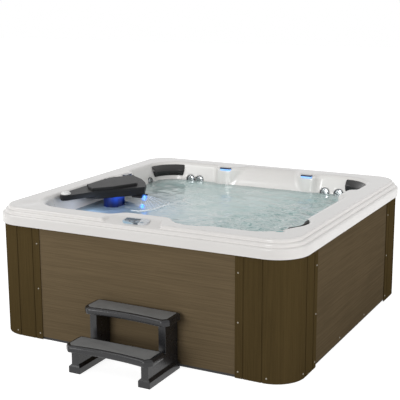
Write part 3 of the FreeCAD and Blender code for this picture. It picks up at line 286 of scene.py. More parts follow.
def display_face():
    """Pale control face with a dark tinted field round the window, and a painted light-blue reflection
    before it.
    """
    finish = Finish("display face", painted(206, 210, 214), 0.22, Coat_Weight=0.2, Coat_Roughness=0.1)
    x, y, _ = finish.axes()
    across = y + 0.985 + (x + 0.08) * 0.28
    field = (1 - abs(across).rising(0.017, 0.021)) * (1 - abs(x + 0.035).rising(0.054, 0.058))
    # Painted reflection: light blue on the face before the window.
    blue = (1 - across.rising(-0.030, -0.012)) * (1 - x.rising(-0.03, 0.03))
    streak = finish.noise(60.0, (1.0, 2.0, 1.0), 2.0)
    pale = finish.mixed((blue * 0.8).clamped(), finish.shaded(streak, 0.97, 1.04), painted(138, 180, 204))
    finish.set(Base_Color=finish.mixed((field * 0.92).clamped(), pale, painted(26, 56, 74)))
    finish.set(Roughness=0.24 + streak * 0.06)
    return finish


def pillow_skin():
    """Black skinned foam, glossier on its face than along its top."""
    finish = Finish("pillow", painted(34, 33, 33), 0.24, Specular_IOR_Level=0.45)
    z = finish.axes()[2]
    drift = finish.noise(20.0)
    matte = z.rising(0.846, 0.856)
    finish.set(Base_Color=finish.shaded(drift, 0.9, 1.1), Roughness=0.20 + drift * 0.08 + matte * 0.6)
    finish.bump(finish.noise(1200.0, detail=2.0), 0.0002, 0.6)
    return finish


finishes["pillow"] = pillow_skin()
finishes["display"] = display_face()
finishes["housing"] = can_with_painted_glow()
# The weir flap takes the can's finish, painted glow and all.
SLOT_OF["weir_flap"] = "housing"
finishes["display_glass"] = display_glass()

for node, obj in NODES.items():
    obj.data.materials.clear()
    obj.data.materials.append(finishes[SLOT_OF[node]].material)


# Pieces

def placed(name, data):
    """A new object in the scene."""
    obj = bpy.data.objects.new(name, data)
    bpy.context.scene.collection.objects.link(obj)
    return obj


def piece(name, points, faces, body, slot, stands_for=()):
    """A smooth mesh piece in place, riding on a body."""
    mesh = bpy.data.meshes.new(name)
    mesh.from_pydata([tuple(map(float, p)) for p in points], [], [tuple(map(int, f)) for f in faces])
    mesh.validate()
    mesh.materials.append(finishes[slot].material)
    mesh.shade_smooth()
    obj = placed(name, mesh)
    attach(obj, body)
    if stands_for:
        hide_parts(*stands_for)
    return obj


def faced_out(obj):
    """The piece with all its faces turned outwards."""
    work = bmesh.new()
    work.from_mesh(obj.data)
    bmesh.ops.recalc_face_normals(work, faces=work.faces)
    work.to_mesh(obj.data)
    work.free()
    return obj


def between(rings, closed=False):
    """Quads between each ring of points and the next, and from the last to the first if closed."""
    pairs = zip(rings, rings[1:] + rings[:1] if closed else rings[1:])
    return [(a[i], a[(i + 1) % len(a)], b[(i + 1) % len(a)], b[i]) for a, b in pairs for i in range(len(a))]


def in_mm(*pairs):
    """A profile given in millimetres, in metres."""
    return [(a * 0.001, b * 0.001) for a, b in pairs]


def body_name(node):
    parent = NODES[node].parent
    return next(name for name, empty in frame["bodies"].items() if empty == parent)


def solid_copy(node, flats_joined=True):
    """A working copy of a node's solid, its triangles joined into flat faces."""
    work = bmesh.new()
    work.from_mesh(NODES[node].data)
    bmesh.ops.remove_doubles(work, verts=work.verts, dist=0.00002)
    if flats_joined:
        bmesh.ops.dissolve_limit(work, angle_limit=radians(1.0), verts=work.verts, edges=work.edges)
    return work


def softened(node, width, segments=3, angle=32.0, work=None):
    """The solid of a node, or a worked copy of it, with its edges rounded."""
    work = work or solid_copy(node)
    mesh = bpy.data.meshes.new(node + "_body")
    work.to_mesh(mesh)
    work.free()
    mesh.materials.clear()
    mesh.materials.append(finishes[SLOT_OF[node]].material)
    mesh.shade_smooth()
    mesh.set_sharp_from_angle(angle=radians(angle))
    obj = placed(node + "_body", mesh)
    if width:
        bevel = obj.modifiers.new("rounding", "BEVEL")
        bevel.width = width
        bevel.segments = segments
        bevel.limit_method = "ANGLE"
        bevel.angle_limit = radians(angle)
        bevel.harden_normals = True
        bevel.use_clamp_overlap = True
    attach(obj, body_name(node))
    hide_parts(node)


def lathed(name, profile, place, axis, body, slot, stands_for=(), segments=48):
    """A turned piece; profile is (radius, distance along the axis), from axis to axis or a closed loop."""
    turn = Vector((0, 0, 1)).rotation_difference(Vector(axis)).to_matrix()
    rings, points = [], []
    for r, h in profile:
        steps = segments if r > 0 else 1
        ring = [len(points) + i for i in range(steps)]
        rings.append(ring if r > 0 else ring * segments)
        for i in range(steps):
            t = 2 * pi * i / segments
            points.append(Vector(place) + turn @ Vector((r * cos(t), r * sin(t), h)))
    closed = profile[0][0] > 0
    faces = [[c for k, c in enumerate(quad) if c != quad[k - 1]] for quad in between(rings, closed)]
    obj = faced_out(piece(name, points, [f for f in faces if len(f) > 2], body, slot, stands_for))
    obj.data.set_sharp_from_angle(angle=radians(40))


# Shape of the shell, as a field that is above zero in the acrylic

RIM = 0.868
HALF_AT = ((0.560, 0.740, 0.868), (0.835, 0.850, 0.895))    # heights, and the bowl's half width there
CORNER = 0.695              # where the bowl's corners have their centres
FULL_CORNER = 0.645         # and the fuller front left one
DECK_HALF = 1.0185
OUTLINE_CORNER = 0.873
RIDGE = 0.068 / 3           # how far each ridge of the lip rises
PAD_FROM = 0.935
PAD_TO = 1.039
PAD_LOW = 0.8453            # where the leaning pad meets the lip
PAD_SLOPE = RIDGE / (PAD_TO - PAD_FROM)
# side: (along, half width, distance of its face, how much it widens outwards)
PEDESTALS = {"back": (0.040, 0.410, 0.825, 0.040), "left": (0.260, 0.090, 0.835, 0.040),
             "right": (-0.365, 0.110, 0.838, 0.040), "front": (0.025, 0.165, 0.815, 0.090)}
SCOOPS = ((0.750, -0.580), (0.328, -0.735))     # centres of the right and front pillows' pockets
SEATS = {"back": 0.035, "right": 0.0, "front": -0.230}
SEAT_FLOOR = 0.350
SEAT_TOP = 0.60             # the hollows of the seats end here, inside the bowl
WELL_FLOOR = 0.110
# heights at which the wall is parted, under the water
RIM_FROM = 0.70
SEATS_FROM = 0.335
CORNER_SEAT, CORNER_SEAT_ROUND = 0.560, 0.255
SIDE_SEAT_OUT, SIDE_SEAT_HALF, SIDE_SEAT_EDGE = 0.601, (0.130, 0.151), 0.070
WELL_HALF, WELL_CORNER = 0.430, 0.320
FLARED_AT = 0.935           # distance out at which the pedestals have widened in full
# the low part of the back wall: its height, where it starts to rise, its middle and half widths
DIP_HEIGHT, DIP_FROM, DIP_MIDDLE, DIP_HALF, DIP_NARROWS = 0.768, 0.825, 0.055, 0.265, 0.085
RECESS = (0.872, -0.822)    # the small round recess in the front right corner
RECESS_ROUND, RECESS_FLOOR = 0.024, 0.778
DISH_AT, DISH_REACH, DISH_DEPTH = (-0.895, -0.885), (0.085, 0.105), 0.0045
JET_POCKET = 0.038
OUTLET_HALF, OUTLET_FLOOR = 0.0415, 0.844
# nozzle: (side, along, height, distance of its seat)
JETS = {
    "back_left_jet_outer": ("back", -0.621, 0.740, 0.866),
    "back_left_jet_inner": ("back", -0.541, 0.740, 0.866),
    "back_right_jet_inner": ("back", 0.529, 0.740, 0.866),
    "back_right_jet_outer": ("back", 0.639, 0.740, 0.866),
    "left_jet": ("left", 0.620, 0.740, 0.866),
    "back_seat_jet": ("back", 0.040, 0.650, 0.838),
    "right_seat_jet": ("right", -0.060, 0.650, 0.852),
}
OUTLETS = {"back_left": ("back", -0.295), "back_right": ("back", 0.387), "left": ("left", 0.255)}
WATER = 0.735


def side_plan(side, x, y):
    """Distance along a side and out from the middle."""
    return {"back": (x, y), "left": (y, -x), "front": (-x, -y), "right": (-y, x)}[side]


def from_side(side, along, out, z):
    """The place that is so far along a side and out from the middle."""
    x, y = {"back": (along, out), "left": (-out, along), "front": (-along, -out),
            "right": (out, -along)}[side]
    return Vector((x, y, z))


def outward(side):
    return from_side(side, 0.0, 1.0, 0.0)


def least(a, b, blend):
    share = np.clip(0.5 + 0.5 * (b - a) / blend, 0, 1)
    return b + (a - b) * share - blend * share * (1 - share)


def most(a, b, blend):
    return -least(-a, -b, blend)


def off_corner(across, along):
    """Distance from a box's edges, below zero inside, round about its corner."""
    return np.hypot(np.maximum(across, 0), np.maximum(along, 0)) + np.minimum(np.maximum(across, along), 0)


def rounded_square(x, y, half, centre):
    return off_corner(np.abs(x) - centre, np.abs(y) - centre) - (half - centre)


def smooth(t):
    t = np.clip(t, 0, 1)
    return t * t * (3 - 2 * t)


def pad_share(x, out):
    """How far a place on the front rim belongs to the leaning pad: slanted at its left, crisp right."""
    back = (PAD_TO - out) / (PAD_TO - PAD_FROM)
    left_outer, left_inner = -0.227 - 0.014 * back, -0.212 + 0.034 * back
    right = 0.187 - 0.040 * back
    return smooth((x - left_outer) / (left_inner - left_outer)) * smooth((right + 0.005 - x) / 0.010)


def deck_height(x, y):
    across, along = (x - DISH_AT[0]) / DISH_REACH[0], (y - DISH_AT[1]) / DISH_REACH[1]
    dish = DISH_DEPTH * smooth(1 - np.hypot(across, along))
    return RIM - dish - pad_share(x, -y) * PAD_SLOPE * np.maximum(-y - PAD_FROM, 0)


def bowl(x, y, z):
    """Below zero where the bowl, seats and footwell are open."""
    half = np.interp(z, *HALF_AT)
    space = rounded_square(x, y, half, CORNER)
    past_x, past_y = np.minimum(x + FULL_CORNER, 0), np.minimum(y + FULL_CORNER, 0)
    corner = np.hypot(past_x, past_y) - (half - FULL_CORNER)
    space = most(space, np.where((past_x < 0) & (past_y < 0), corner, -1.0), 0.004)
    for cx, cy in SCOOPS:
        space = least(space, np.hypot(x - cx, y - cy) - (half - CORNER), 0.028)
    for side, (along, width, face, flare) in PEDESTALS.items():
        a, out = side_plan(side, x, y)
        spread = width + flare * (out - face) / (FLARED_AT - face)
        block = most(face - out, (np.abs(a - along) - spread) * 0.93, 0.03)
        space = most(space, -block, 0.034)
    low = np.maximum(DIP_HEIGHT + (y - DIP_FROM) * 0.80, DIP_HEIGHT)
    narrow = DIP_HALF - DIP_NARROWS * np.clip((y - DIP_FROM) / 0.165, 0, 1)
    dip = most((low - z) * 0.8, (np.abs(x - DIP_MIDDLE) - narrow) * 0.88, 0.03)
    dip = most(dip, 0.60 - y, 0.01)
    space = least(space, dip, 0.085)
    space = most(space, HALF_AT[0][0] - z, 0.05)
    hollows = [(np.hypot(x - cx, y - cy) - CORNER_SEAT_ROUND, SEAT_FLOOR, 0.06)
               for cx in (-CORNER_SEAT, CORNER_SEAT) for cy in (-CORNER_SEAT, CORNER_SEAT)]
    for side, along in SEATS.items():
        a, out = side_plan(side, x, y)
        past = [np.abs(way) - half for way, half in zip((a - along, out - SIDE_SEAT_OUT), SIDE_SEAT_HALF)]
        hollows.append((off_corner(*past) - SIDE_SEAT_EDGE, SEAT_FLOOR, 0.06))
    hollows.append((rounded_square(x, y, WELL_HALF, WELL_CORNER), WELL_FLOOR, 0.055))
    for plan, floor, blend in hollows:
        hollow = most(plan, floor - z, blend)
        space = least(space, most(hollow, z - SEAT_TOP, 0.01), 0.045)
    return space


def moulded(x, y, z):
    space = bowl(x, y, z)
    for side, along, height, seat in JETS.values():
        a, out = side_plan(side, x, y)
        pocket = most(np.hypot(a - along, z - height) - JET_POCKET, out - seat, 0.004)
        space = least(space, most(pocket, seat - 0.06 - out, 0.004), 0.007)
    for side, along in OUTLETS.values():
        a, out = side_plan(side, x, y)
        face = PEDESTALS[side][2]
        pocket = most(np.abs(a - along) - OUTLET_HALF, out - face - 0.030, 0.004)
        pocket = most(pocket, OUTLET_FLOOR - z, 0.004)
        space = least(space, most(pocket, face - 0.03 - out, 0.004), 0.007)
    hole = most(np.hypot(x - RECESS[0], y - RECESS[1]) - RECESS_ROUND, RECESS_FLOOR - z, 0.008)
    space = least(space, hole, 0.008)
    return least(deck_height(x, y) - z, space, 0.030)


def gradient(field, p):
    step = 0.0012
    parts = []
    for axis in range(3):
        move = np.zeros(3)
        move[axis] = step
        parts.append((field(*(p + move).T) - field(*(p - move).T)) / (2 * step))
    return np.stack(parts, 1)


def settled(field, p, reach):
    """Points moved onto the field's surface, none further than reach."""
    start = p.copy()
    for _ in range(3):
        slope = gradient(field, p)
        p = p - (field(*p.T) / np.maximum((slope ** 2).sum(1), 0.05))[:, None] * slope
        away = p - start
        far = np.linalg.norm(away, axis=1)
        p = start + away * np.minimum(1, reach / np.maximum(far, 1e-9))[:, None]
    return p


def surface_net(xs, ys, zs, field):
    """Points and quads of the surface where the field is zero, on a grid."""
    value = np.stack([field(*np.meshgrid(xs, ys, [z], indexing="ij"))[:, :, 0] for z in zs], 2)
    solid = value > 0
    shape = value.shape
    strides = (shape[1] * shape[2], shape[2], 1)
    lines = (xs, ys, zs)
    total = np.zeros((value.size, 3))
    count = np.zeros(value.size)
    quads = []
    for axis in range(3):
        first, second = [(axis + k) % 3 for k in (1, 2)]
        near = [slice(None)] * 3
        far = [slice(None)] * 3
        near[axis], far[axis] = slice(0, -1), slice(1, None)
        spots = np.argwhere(solid[tuple(near)] != solid[tuple(far)])
        inner = np.ones(len(spots), bool)
        for k in (first, second):
            inner &= (spots[:, k] > 0) & (spots[:, k] < shape[k] - 1)
        spots = spots[inner]
        ends = spots.copy()
        ends[:, axis] += 1
        a, b = value[tuple(spots.T)], value[tuple(ends.T)]
        share = a / (a - b)
        where = np.stack([lines[k][spots[:, k]] for k in range(3)], 1)
        where[:, axis] += share * (lines[axis][ends[:, axis]] - lines[axis][spots[:, axis]])
        base = spots @ np.array(strides)
        before, under = base - strides[first], base - strides[second]
        cells = [base, before, before - strides[second], under]
        for cell in cells:
            count += np.bincount(cell, minlength=value.size)
            for k in range(3):
                total[:, k] += np.bincount(cell, where[:, k], value.size)
        loop = np.stack(cells, 1)
        flip = a < 0
        loop[flip] = loop[flip][:, ::-1]
        quads.append(loop)
    quads = np.concatenate(quads)
    used, index = np.unique(quads, return_inverse=True)
    return total[used] / count[used][:, None], index.reshape(-1, 4)


def joined_wall(p, normals, quads, thickness):
    """A closed wall: the surface, its copy behind it, and strips along its open edges."""
    count = len(p)
    edges = np.concatenate([quads[:, [0, 1]], quads[:, [1, 2]], quads[:, [2, 3]], quads[:, [3, 0]]])
    low, high = edges.min(1).astype(np.int64), edges.max(1).astype(np.int64)
    key = low * count + high
    _, first, uses = np.unique(key, return_index=True, return_counts=True)
    rims = edges[first[uses == 1]]
    back = p - normals * thickness
    strips = np.stack([rims[:, 1], rims[:, 0], rims[:, 0] + count, rims[:, 1] + count], 1)
    return np.concatenate([p, back]), np.concatenate([quads, quads[:, ::-1] + count, strips])


GRID_HALF, GRID_STEP = 1.03, 0.0102
# from, to and step: the grid's levels, closer at the rim, and its closer columns at the pad's two ends
GRID_LEVELS = ((0.085, 0.70, 0.0115), (0.70, 0.885, 0.0072))
PAD_COLUMNS = ((-0.262, -0.172, 0.0034), (0.130, 0.206, 0.0026))
RIM_WALL, BOWL_WALL = 0.006, 0.0075


def shell_pieces():
    """The moulded wall in three pieces that meet under water; returns where the pad's seam has points."""
    plane = np.linspace(-GRID_HALF, GRID_HALF, int(2 * GRID_HALF / GRID_STEP) + 1)
    levels = np.concatenate([np.arange(*span) for span in GRID_LEVELS])
    columns = np.unique(np.concatenate([plane, *[np.arange(*span) for span in PAD_COLUMNS]]).round(5))
    columns = columns[np.concatenate([[True], np.diff(columns) > 0.0012])]
    points, quads = surface_net(columns, plane, levels, moulded)
    points = settled(moulded, points, 0.006)

    def outline_at(p):
        return rounded_square(p[:, 0], p[:, 1], DECK_HALF, OUTLINE_CORNER)

    outline = outline_at(points)
    quads = quads[(outline[quads] < 0).any(1)]
    step = 1e-4
    for _ in range(2):
        over = outline > -0.0018
        slopes = [(outline_at(points[over] + step * way) - outline[over]) / step for way in np.eye(3)[:2]]
        for axis, slope in enumerate(slopes):
            points[over, axis] -= outline[over] * slope
        outline = outline_at(points)
    edge = np.abs(outline) < 1e-5
    points[edge, 2] = deck_height(points[edge, 0], points[edge, 1])
    seam = np.sort(points[edge & (points[:, 1] < -1.0), 0])
    seam = seam[np.concatenate([[True], np.diff(seam) > 0.0004])]
    normals = -gradient(moulded, points)
    normals /= np.maximum(np.linalg.norm(normals, axis=1), 1e-6)[:, None]
    height = points[quads].mean(1)[:, 2]
    facing = np.cross(points[quads[:, 1]] - points[quads[:, 0]], points[quads[:, 2]] - points[quads[:, 0]])
    if (facing * normals[quads[:, 0]]).sum() < 0:
        quads = quads[:, ::-1]
    bands = {"shell_rim": height >= RIM_FROM, "shell_seats": (height < RIM_FROM) & (height >= SEATS_FROM),
             "shell_footwell": height < SEATS_FROM}
    for name, chosen in bands.items():
        used, index = np.unique(quads[chosen], return_inverse=True)
        p, n = points[used], normals[used]
        thick = np.where(p[:, 2] > 0.75, RIM_WALL, BOWL_WALL)[:, None]
        wall, faces = joined_wall(p, n, index.reshape(-1, 4), thick)
        obj = piece(name, wall, faces, "tub", "acrylic", ("tub_shell",))
        obj.data.normals_split_custom_set_from_vertices(np.concatenate([n, -n]).tolist())
    return [x for x in seam if -0.265 < x < -0.168 or 0.125 < x < 0.210]


front_seam = shell_pieces()


# Stepped lip round the rim

def cut_corners(points, rounds):
    """An open polyline with its corners cut, ends kept."""
    for _ in range(rounds):
        following = np.concatenate([points[1:], points[-1:]])
        near, far = points * 0.75 + following * 0.25, points * 0.25 + following * 0.75
        mid = np.stack([near, far], 1)[:-1].reshape(-1, 2)
        points = np.concatenate([points[:1], mid, points[-1:]])
    return points


def spaced(points, count):
    """A polyline at even spacing along its length."""
    run = np.concatenate([[0], np.cumsum(np.linalg.norm(np.diff(points, axis=0), axis=1))])
    at = np.linspace(0, run[-1], count)
    return np.stack([np.interp(at, run, points[:, k]) for k in range(2)], 1)


LIP_OUT = 1.080
LIP_EDGE = 0.758            # height of the lip's lower edge
SKIRT_TOP = 0.800
LIP_FOLD = 0.795            # how high the inside of the skirt reaches
LIP_WALL = 0.008
LIP_TUCK = 0.012            # how far the lip runs in under the rim
TOP_EDGE_FROM = 0.745       # points of a panel above this are its top edge
PANEL_LIFT = 0.010          # the panels end this much higher than their solids, behind the lip


def heightened(node):
    """The solid of a panel with its top edge lifted to stay behind the lip."""
    work = solid_copy(node)
    for vertex in work.verts:
        if vertex.co.z > TOP_EDGE_FROM:
            vertex.co.z += PANEL_LIFT
    return work


def lip_sections():
    """The stepped section and the pad's section, both as (distance out, height), same count."""
    run, nose = 0.0205, 0.0125
    stepped = [(LIP_OUT, SKIRT_TOP)]
    for i in range(3):
        out, crest = LIP_OUT - i * run, SKIRT_TOP + (i + 1) * RIDGE
        for t in np.linspace(0, pi / 2, 7):
            stepped.append((out - nose * (1 - cos(t)), crest - nose * (1 - sin(t))))
        stepped.append((out - run, crest))
    stepped = spaced(cut_corners(np.array(stepped), 1), 64)
    drop = (stepped[:, 0] <= PAD_TO + 0.0002) & (stepped[:, 1] > PAD_LOW + 0.0005)
    pad = stepped.copy()
    line = np.array([(PAD_TO, PAD_LOW), (DECK_HALF, RIM - PAD_SLOPE * (DECK_HALF - PAD_FROM))])
    pad[drop] = spaced(line, int(drop.sum()))
    skirt = [(LIP_OUT, LIP_EDGE + (SKIRT_TOP - LIP_EDGE) * i / 4) for i in range(4)]
    return np.concatenate([skirt, stepped]), np.concatenate([skirt, pad])


def lip():
    """The lip, swept round the outline.

    A station is the point that its section is measured from, the distance out at that point, the way
    it faces, and on the front side its place along the pad.
    """
    stepped, pad = lip_sections()
    ends = [-OUTLINE_CORNER, OUTLINE_CORNER]
    stations = []
    for turn, side in enumerate(("right", "back", "left", "front")):
        normal = turn * pi / 2
        for place in sorted(ends + [-0.1, 0.0, 0.1] + front_seam) if side == "front" else ends:
            along = place if side in ("right", "front") else -place
            start = (0.0, along) if side in ("right", "left") else (along, 0.0)
            stations.append((start, 0.0, normal, along if side == "front" else None))
        diagonal = normal + pi / 4
        corner = [copysign(OUTLINE_CORNER, way) for way in (cos(diagonal), sin(diagonal))]
        for t in np.linspace(0, pi / 2, 21)[1:-1]:
            stations.append((corner, OUTLINE_CORNER, normal + t, None))
    points, rows = [], []
    for (start_x, start_y), inside, angle, place in stations:
        c, s = cos(angle), sin(angle)
        row = []
        for (out, z), (pad_out, pad_z) in zip(stepped, pad):
            share = 0.0 if place is None else float(pad_share(place, out))
            r = out + share * (pad_out - out) - inside
            row.append((start_x + r * c, start_y + r * s, z + share * (pad_z - z)))
        (low_x, low_y, low), (x, y, high) = row[0], row[-1]
        row.append((x, y, high - 0.0006))
        row += [(x - c * LIP_TUCK, y - s * LIP_TUCK, high - drop) for drop in (0.0008, 0.007)]
        row += [(low_x - c * LIP_WALL, low_y - s * LIP_WALL, z) for z in (LIP_FOLD, low)]
        rows.append(range(len(points), len(points) + len(row)))
        points += row
    obj = faced_out(piece("shell_lip", points, between(rows, True), "tub", "acrylic", ("tub_shell",)))
    obj.data.set_sharp_from_angle(angle=radians(50))


lip()


# Pillows

SEAM_AT = (9, 40)           # points of a pillow's section that lie in its seam
SEAM_DEPTH = 0.0019
PILLOW_FOOT = 0.765
PILLOW_GAP = 0.0006         # between a pillow's back and the wall
HALF_TURN = 48.0            # degrees from a pillow's middle to its end
# name, centre of its arc, way it faces, then how proud and high it is, its slant, and degrees to its far end
PILLOWS = (
    ("back_right_pillow", (CORNER, CORNER), 45.0, (0.038, 0.850, 0.034, HALF_TURN)),
    ("back_left_pillow", (-CORNER, CORNER), 135.0, (0.038, 0.850, 0.034, HALF_TURN)),
    ("right_pillow", SCOOPS[0], 0.0, (0.024, 0.863, 0.014, 31.0)),
    ("front_pillow", SCOOPS[1], 270.0, (0.026, 0.853, 0.024, HALF_TURN)),
)


def pillow_piece(name, centre, turn, proud, high, slant, reach):
    """A crowned pad along the conical wall, its ends drawn in, with a seam round its face."""
    low = PILLOW_FOOT
    low_r, high_r = [float(np.interp(z, *HALF_AT)) - CORNER - PILLOW_GAP for z in (low, high)]
    rings, points = [], []
    count = 56
    for i in range(count + 1):
        share = sin(pi / 2 * (2 * i / count - 1))
        swell = 0.45 + 0.55 * sqrt(max(0.0, 1 - share * share))
        edge, front = 0.008 * swell, (low_r + high_r) / 2 - proud * swell
        loop = np.array([(low_r, low), (high_r, high), (high_r - edge, high), (front, high - slant),
                         (front, low + 0.024), (low_r - edge, low)])
        for _ in range(3):
            following = np.roll(loop, -1, 0)
            near, far = loop * 0.78 + following * 0.22, loop * 0.22 + following * 0.78
            loop = np.stack([near, far], 1).reshape(-1, 2)
        middle = loop.mean(0)
        for k in SEAM_AT:
            for step, depth in ((-1, 0.0006), (0, SEAM_DEPTH), (1, 0.0006)):
                away = middle - loop[(k + step) % len(loop)]
                loop[(k + step) % len(loop)] += away / np.linalg.norm(away) * depth
        ends = sqrt(max(0.0, 1 - max(0.0, (abs(share) - 0.93) / 0.07) ** 2))
        loop = middle + (loop - middle) * max(ends, 0.02)
        angle = radians(turn + (HALF_TURN if share < 0 else reach) * share)
        rings.append(list(range(len(points), len(points) + len(loop))))
        points += [(centre[0] + r * cos(angle), centre[1] + r * sin(angle), z) for r, z in loop]
    faces = [rings[0][::-1], rings[-1]] + between(rings)
    obj = faced_out(piece(name + "_pad", points, faces, body_name(name), "pillow", (name,)))


for name, centre, turn, sizes in PILLOWS:
    pillow_piece(name, centre, turn, *sizes)


# Jets

JET_RING = in_mm((30.5, 2), (30.5, 6.2), (31.3, 7.2), (33.2, 7.6), (35.0, 6.9), (35.9, 5.2), (36, 0.3),
                 (26, 0.3), (26, 2))
JET_FACE = in_mm((0, 7.6), (8, 7.5), (17, 7.0), (22, 6.0), (23.5, 5.2), (25.2, 5.7), (27.4, 5.4),
                 (28.9, 4.6), (29.2, 3.4), (29.2, 2.5), (8, 2.5), (8, -8.5), (0, -8.5))
JET_EYE = in_mm((0, 7.0), (5.2, 7.2), (6.2, 8.6), (7.4, 8.5), (7.8, 6.8), (0, 6.0))


def jets():
    for name, (side, along, z, seat) in JETS.items():
        place = from_side(side, along, seat, z)
        axis = -outward(side)
        lathed(name + "_ring", JET_RING, place, axis, "tub", "jet_ring", ("jet_bodies",))
        lathed(name + "_face", JET_FACE, place, axis, body_name(name), "jet_steel", (name,))
        lathed(name + "_eye", JET_EYE, place + Vector((0, 0, 0.016)) - axis * 0.0008, axis, body_name(name),
               "jet_ring", (), 20)


jets()


# Solids with rounded edges; the deck's lower band and the panels' tops are moved a little first

DECK_SIDE_X = -0.895
# the deck's outline in millimetres from there: round its tip, along its front, and back along the wall
DECK_OUTLINE = ((17, -560), (40, -605), (69, -620), (95, -596),
                (195, -378), (255, -300), (355, -180), (418, -106), (405, -60),
                (342, 32), (255, 130), (117, 232), (73, 222), (73, 135), (17, 115))
# heights, and how far the outline is drawn in there
WAIST = ((0.8075, 0.015), (0.811, 0.009), (0.8305, 0.0085), (0.8315, 0.0075), (0.834, 0.0035),
         (0.8445, 0.003), (0.8462, 0.001), (0.850, 0.0), (0.869, 0.0))
WAIST_CUTS = (0.811, 0.834, 0.8445, 0.8462, 0.850)


def waisted_deck():
    """The filter deck with its lower band and skirt drawn in under the upper band."""
    outline = np.array(DECK_OUTLINE) / 1000 + np.array([DECK_SIDE_X, 0.0])
    along = np.roll(outline, -1, 0) - outline
    length = np.linalg.norm(along, axis=1)
    along /= length[:, None]
    inner = np.stack([-along[:, 1], along[:, 0]], 1)
    miter = inner + np.roll(inner, 1, 0)
    miter /= (miter * inner).sum(1)[:, None]
    levels, drawn = zip(*WAIST)
    work = solid_copy("filter_deck")
    for z in WAIST_CUTS:
        geometry = work.verts[:] + work.edges[:] + work.faces[:]
        bmesh.ops.bisect_plane(work, geom=geometry, plane_co=(0, 0, z), plane_no=(0, 0, 1))
    for vert in work.verts:
        away = np.array(vert.co[:2]) - outline
        run = (away * along).sum(1)
        gap = (away * inner).sum(1)
        near = np.abs(gap) + 10 * ((run < -0.006) | (run > length + 0.006))
        i = int(near.argmin())
        if near[i] > 0.0065:
            continue
        amount = float(np.interp(vert.co.z, levels, drawn))
        share = min(1.0, max(0.0, run[i] / length[i]))
        move = (miter[i] * (1 - share) + miter[(i + 1) % len(outline)] * share) * amount
        vert.co.x += move[0]
        vert.co.y += move[1]
    return work


softened("filter_deck", 0.0022, 3, work=waisted_deck())
softened("filter_lid", 0.003, 3)
softened("filter_housing", 0.0)
softened("display_housing", 0.0009, 2)
softened("display_window", 0.001, 2)
for button_node in ("cooler_button", "jets_button", "light_button", "warmer_button"):
    softened(button_node, 0.0006, 2)
for cabinet_node in ("front_panel", "right_panel", "left_panel", "back_panel", "front_left_corner",
                     "front_right_corner", "back_left_corner", "back_right_corner"):
    softened(cabinet_node, 0.0012, 2, work=heightened(cabinet_node))
softened("step_sides", 0.012, 5, 40.0)
for plain_node in [n for n in NODES if SLOT_OF[n] in ("lens", "dark_cap")]:
    softened(plain_node, 0.0015, 2)


# Step treads

def tread_plan(half=0.300, depth=0.188, chamfer=0.038, back=0.018, bow=0.020):
    """Outline of a tread from above, counter-clockwise, its front edge bowed in and its corners eased."""
    corners = [(half - chamfer, -depth), (half, chamfer - depth), (half, -back), (half - back, 0.0),
               (back - half, 0.0), (-half, -back), (-half, chamfer - depth), (chamfer - half, -depth)]
    eased = []
    for i, corner in enumerate(corners):
        corner = np.array(corner)
        before, after = np.array(corners[i - 1]), np.array(corners[(i + 1) % len(corners)])
        ease = 0.012
        start = corner + (before - corner) * ease / np.linalg.norm(before - corner)
        end = corner + (after - corner) * ease / np.linalg.norm(after - corner)
        for t in np.linspace(0, 1, 6):
            eased.append(start * (1 - t) ** 2 + corner * 2 * t * (1 - t) + end * t ** 2)
    across = np.linspace(-(half - chamfer - 0.014), half - chamfer - 0.014, 30)
    line = np.stack([across, np.full(30, -depth)], 1)
    plan = np.concatenate([line, np.array(eased)])
    near = np.abs(plan[:, 0]) < half - chamfer
    share = 1 - (plan[:, 0] / (half - chamfer)) ** 2
    plan[:, 1] += np.where(near & (plan[:, 1] < -depth / 2), bow * share, 0)
    return plan


def inset(plan, amount):
    ahead = np.roll(plan, -1, 0) - np.roll(plan, 1, 0)
    ahead /= np.linalg.norm(ahead, axis=1)[:, None]
    return plan + np.stack([-ahead[:, 1], ahead[:, 0]], 1) * amount


def stacked(name, levels, place, slot, node):
    """A closed slab of outlines; levels are (inset, height) from the underside to the top."""
    plan = tread_plan()
    points = []
    for amount, height in levels:
        points += [(x + place[0], y + place[1], height + place[2]) for x, y in inset(plan, amount)]
    rings = [list(range(i * len(plan), (i + 1) * len(plan))) for i in range(len(levels))]
    faces = between(rings) + [rings[0][::-1], rings[-1]]
    obj = piece(name, points, faces, body_name(node), slot, (node,))
    obj.data.set_sharp_from_angle(angle=radians(50))


SLAB = in_mm((9, -42), (4, -41), (1.2, -38.5), (0, -34), (0, -17), (0.9, -11.5), (3.4, -6.3), (7, -2.9),
             (11.5, -0.9), (16, -0.2), (20.2, 0), (20.8, -1.3), (22.3, -1.3), (22.8, 0))
MAT = in_mm((23.2, -0.4), (23.3, 1.2), (24, 1.9), (25.2, 2.0))
STEP_MIDDLE, STEP_BACK = 0.052, -1.073


def treads():
    for level, top, forward in (("upper", 0.358, 0.0), ("lower", 0.182, 0.205)):
        node = "step_" + level + "_tread"
        place = (STEP_MIDDLE, STEP_BACK - forward, top)
        stacked(node + "_slab", SLAB, place, "step_plastic", node)
        stacked("step_mat_" + level, MAT, place, "step_mat", "step_mats")


treads()


# Water and the waterfall

def swell(x, y):
    """Height of the ripples over the still water."""
    rng = np.random.default_rng(7)
    height = np.zeros_like(x)
    for _ in range(26):
        turn, length = rng.uniform(0, 2 * pi), 0.045 + 0.16 * rng.random() ** 1.6
        phase = rng.uniform(0, 6.3)
        bend = 0.35 * np.sin(3.1 * x + phase) + 0.35 * np.sin(2.7 * y - phase)
        along = x * cos(turn) + y * sin(turn) + bend * length
        height += 0.0075 * length * np.sin(2 * pi * along / length + phase)
    from_fall = np.hypot(x + 0.36, y + 0.12)
    height += 0.0016 * np.exp(-from_fall / 0.25) * np.sin(from_fall * 2 * pi / 0.055)
    return height * (0.3 + 0.7 * smooth((x * 1.1 - y * 0.35 + 0.05) / 0.6))


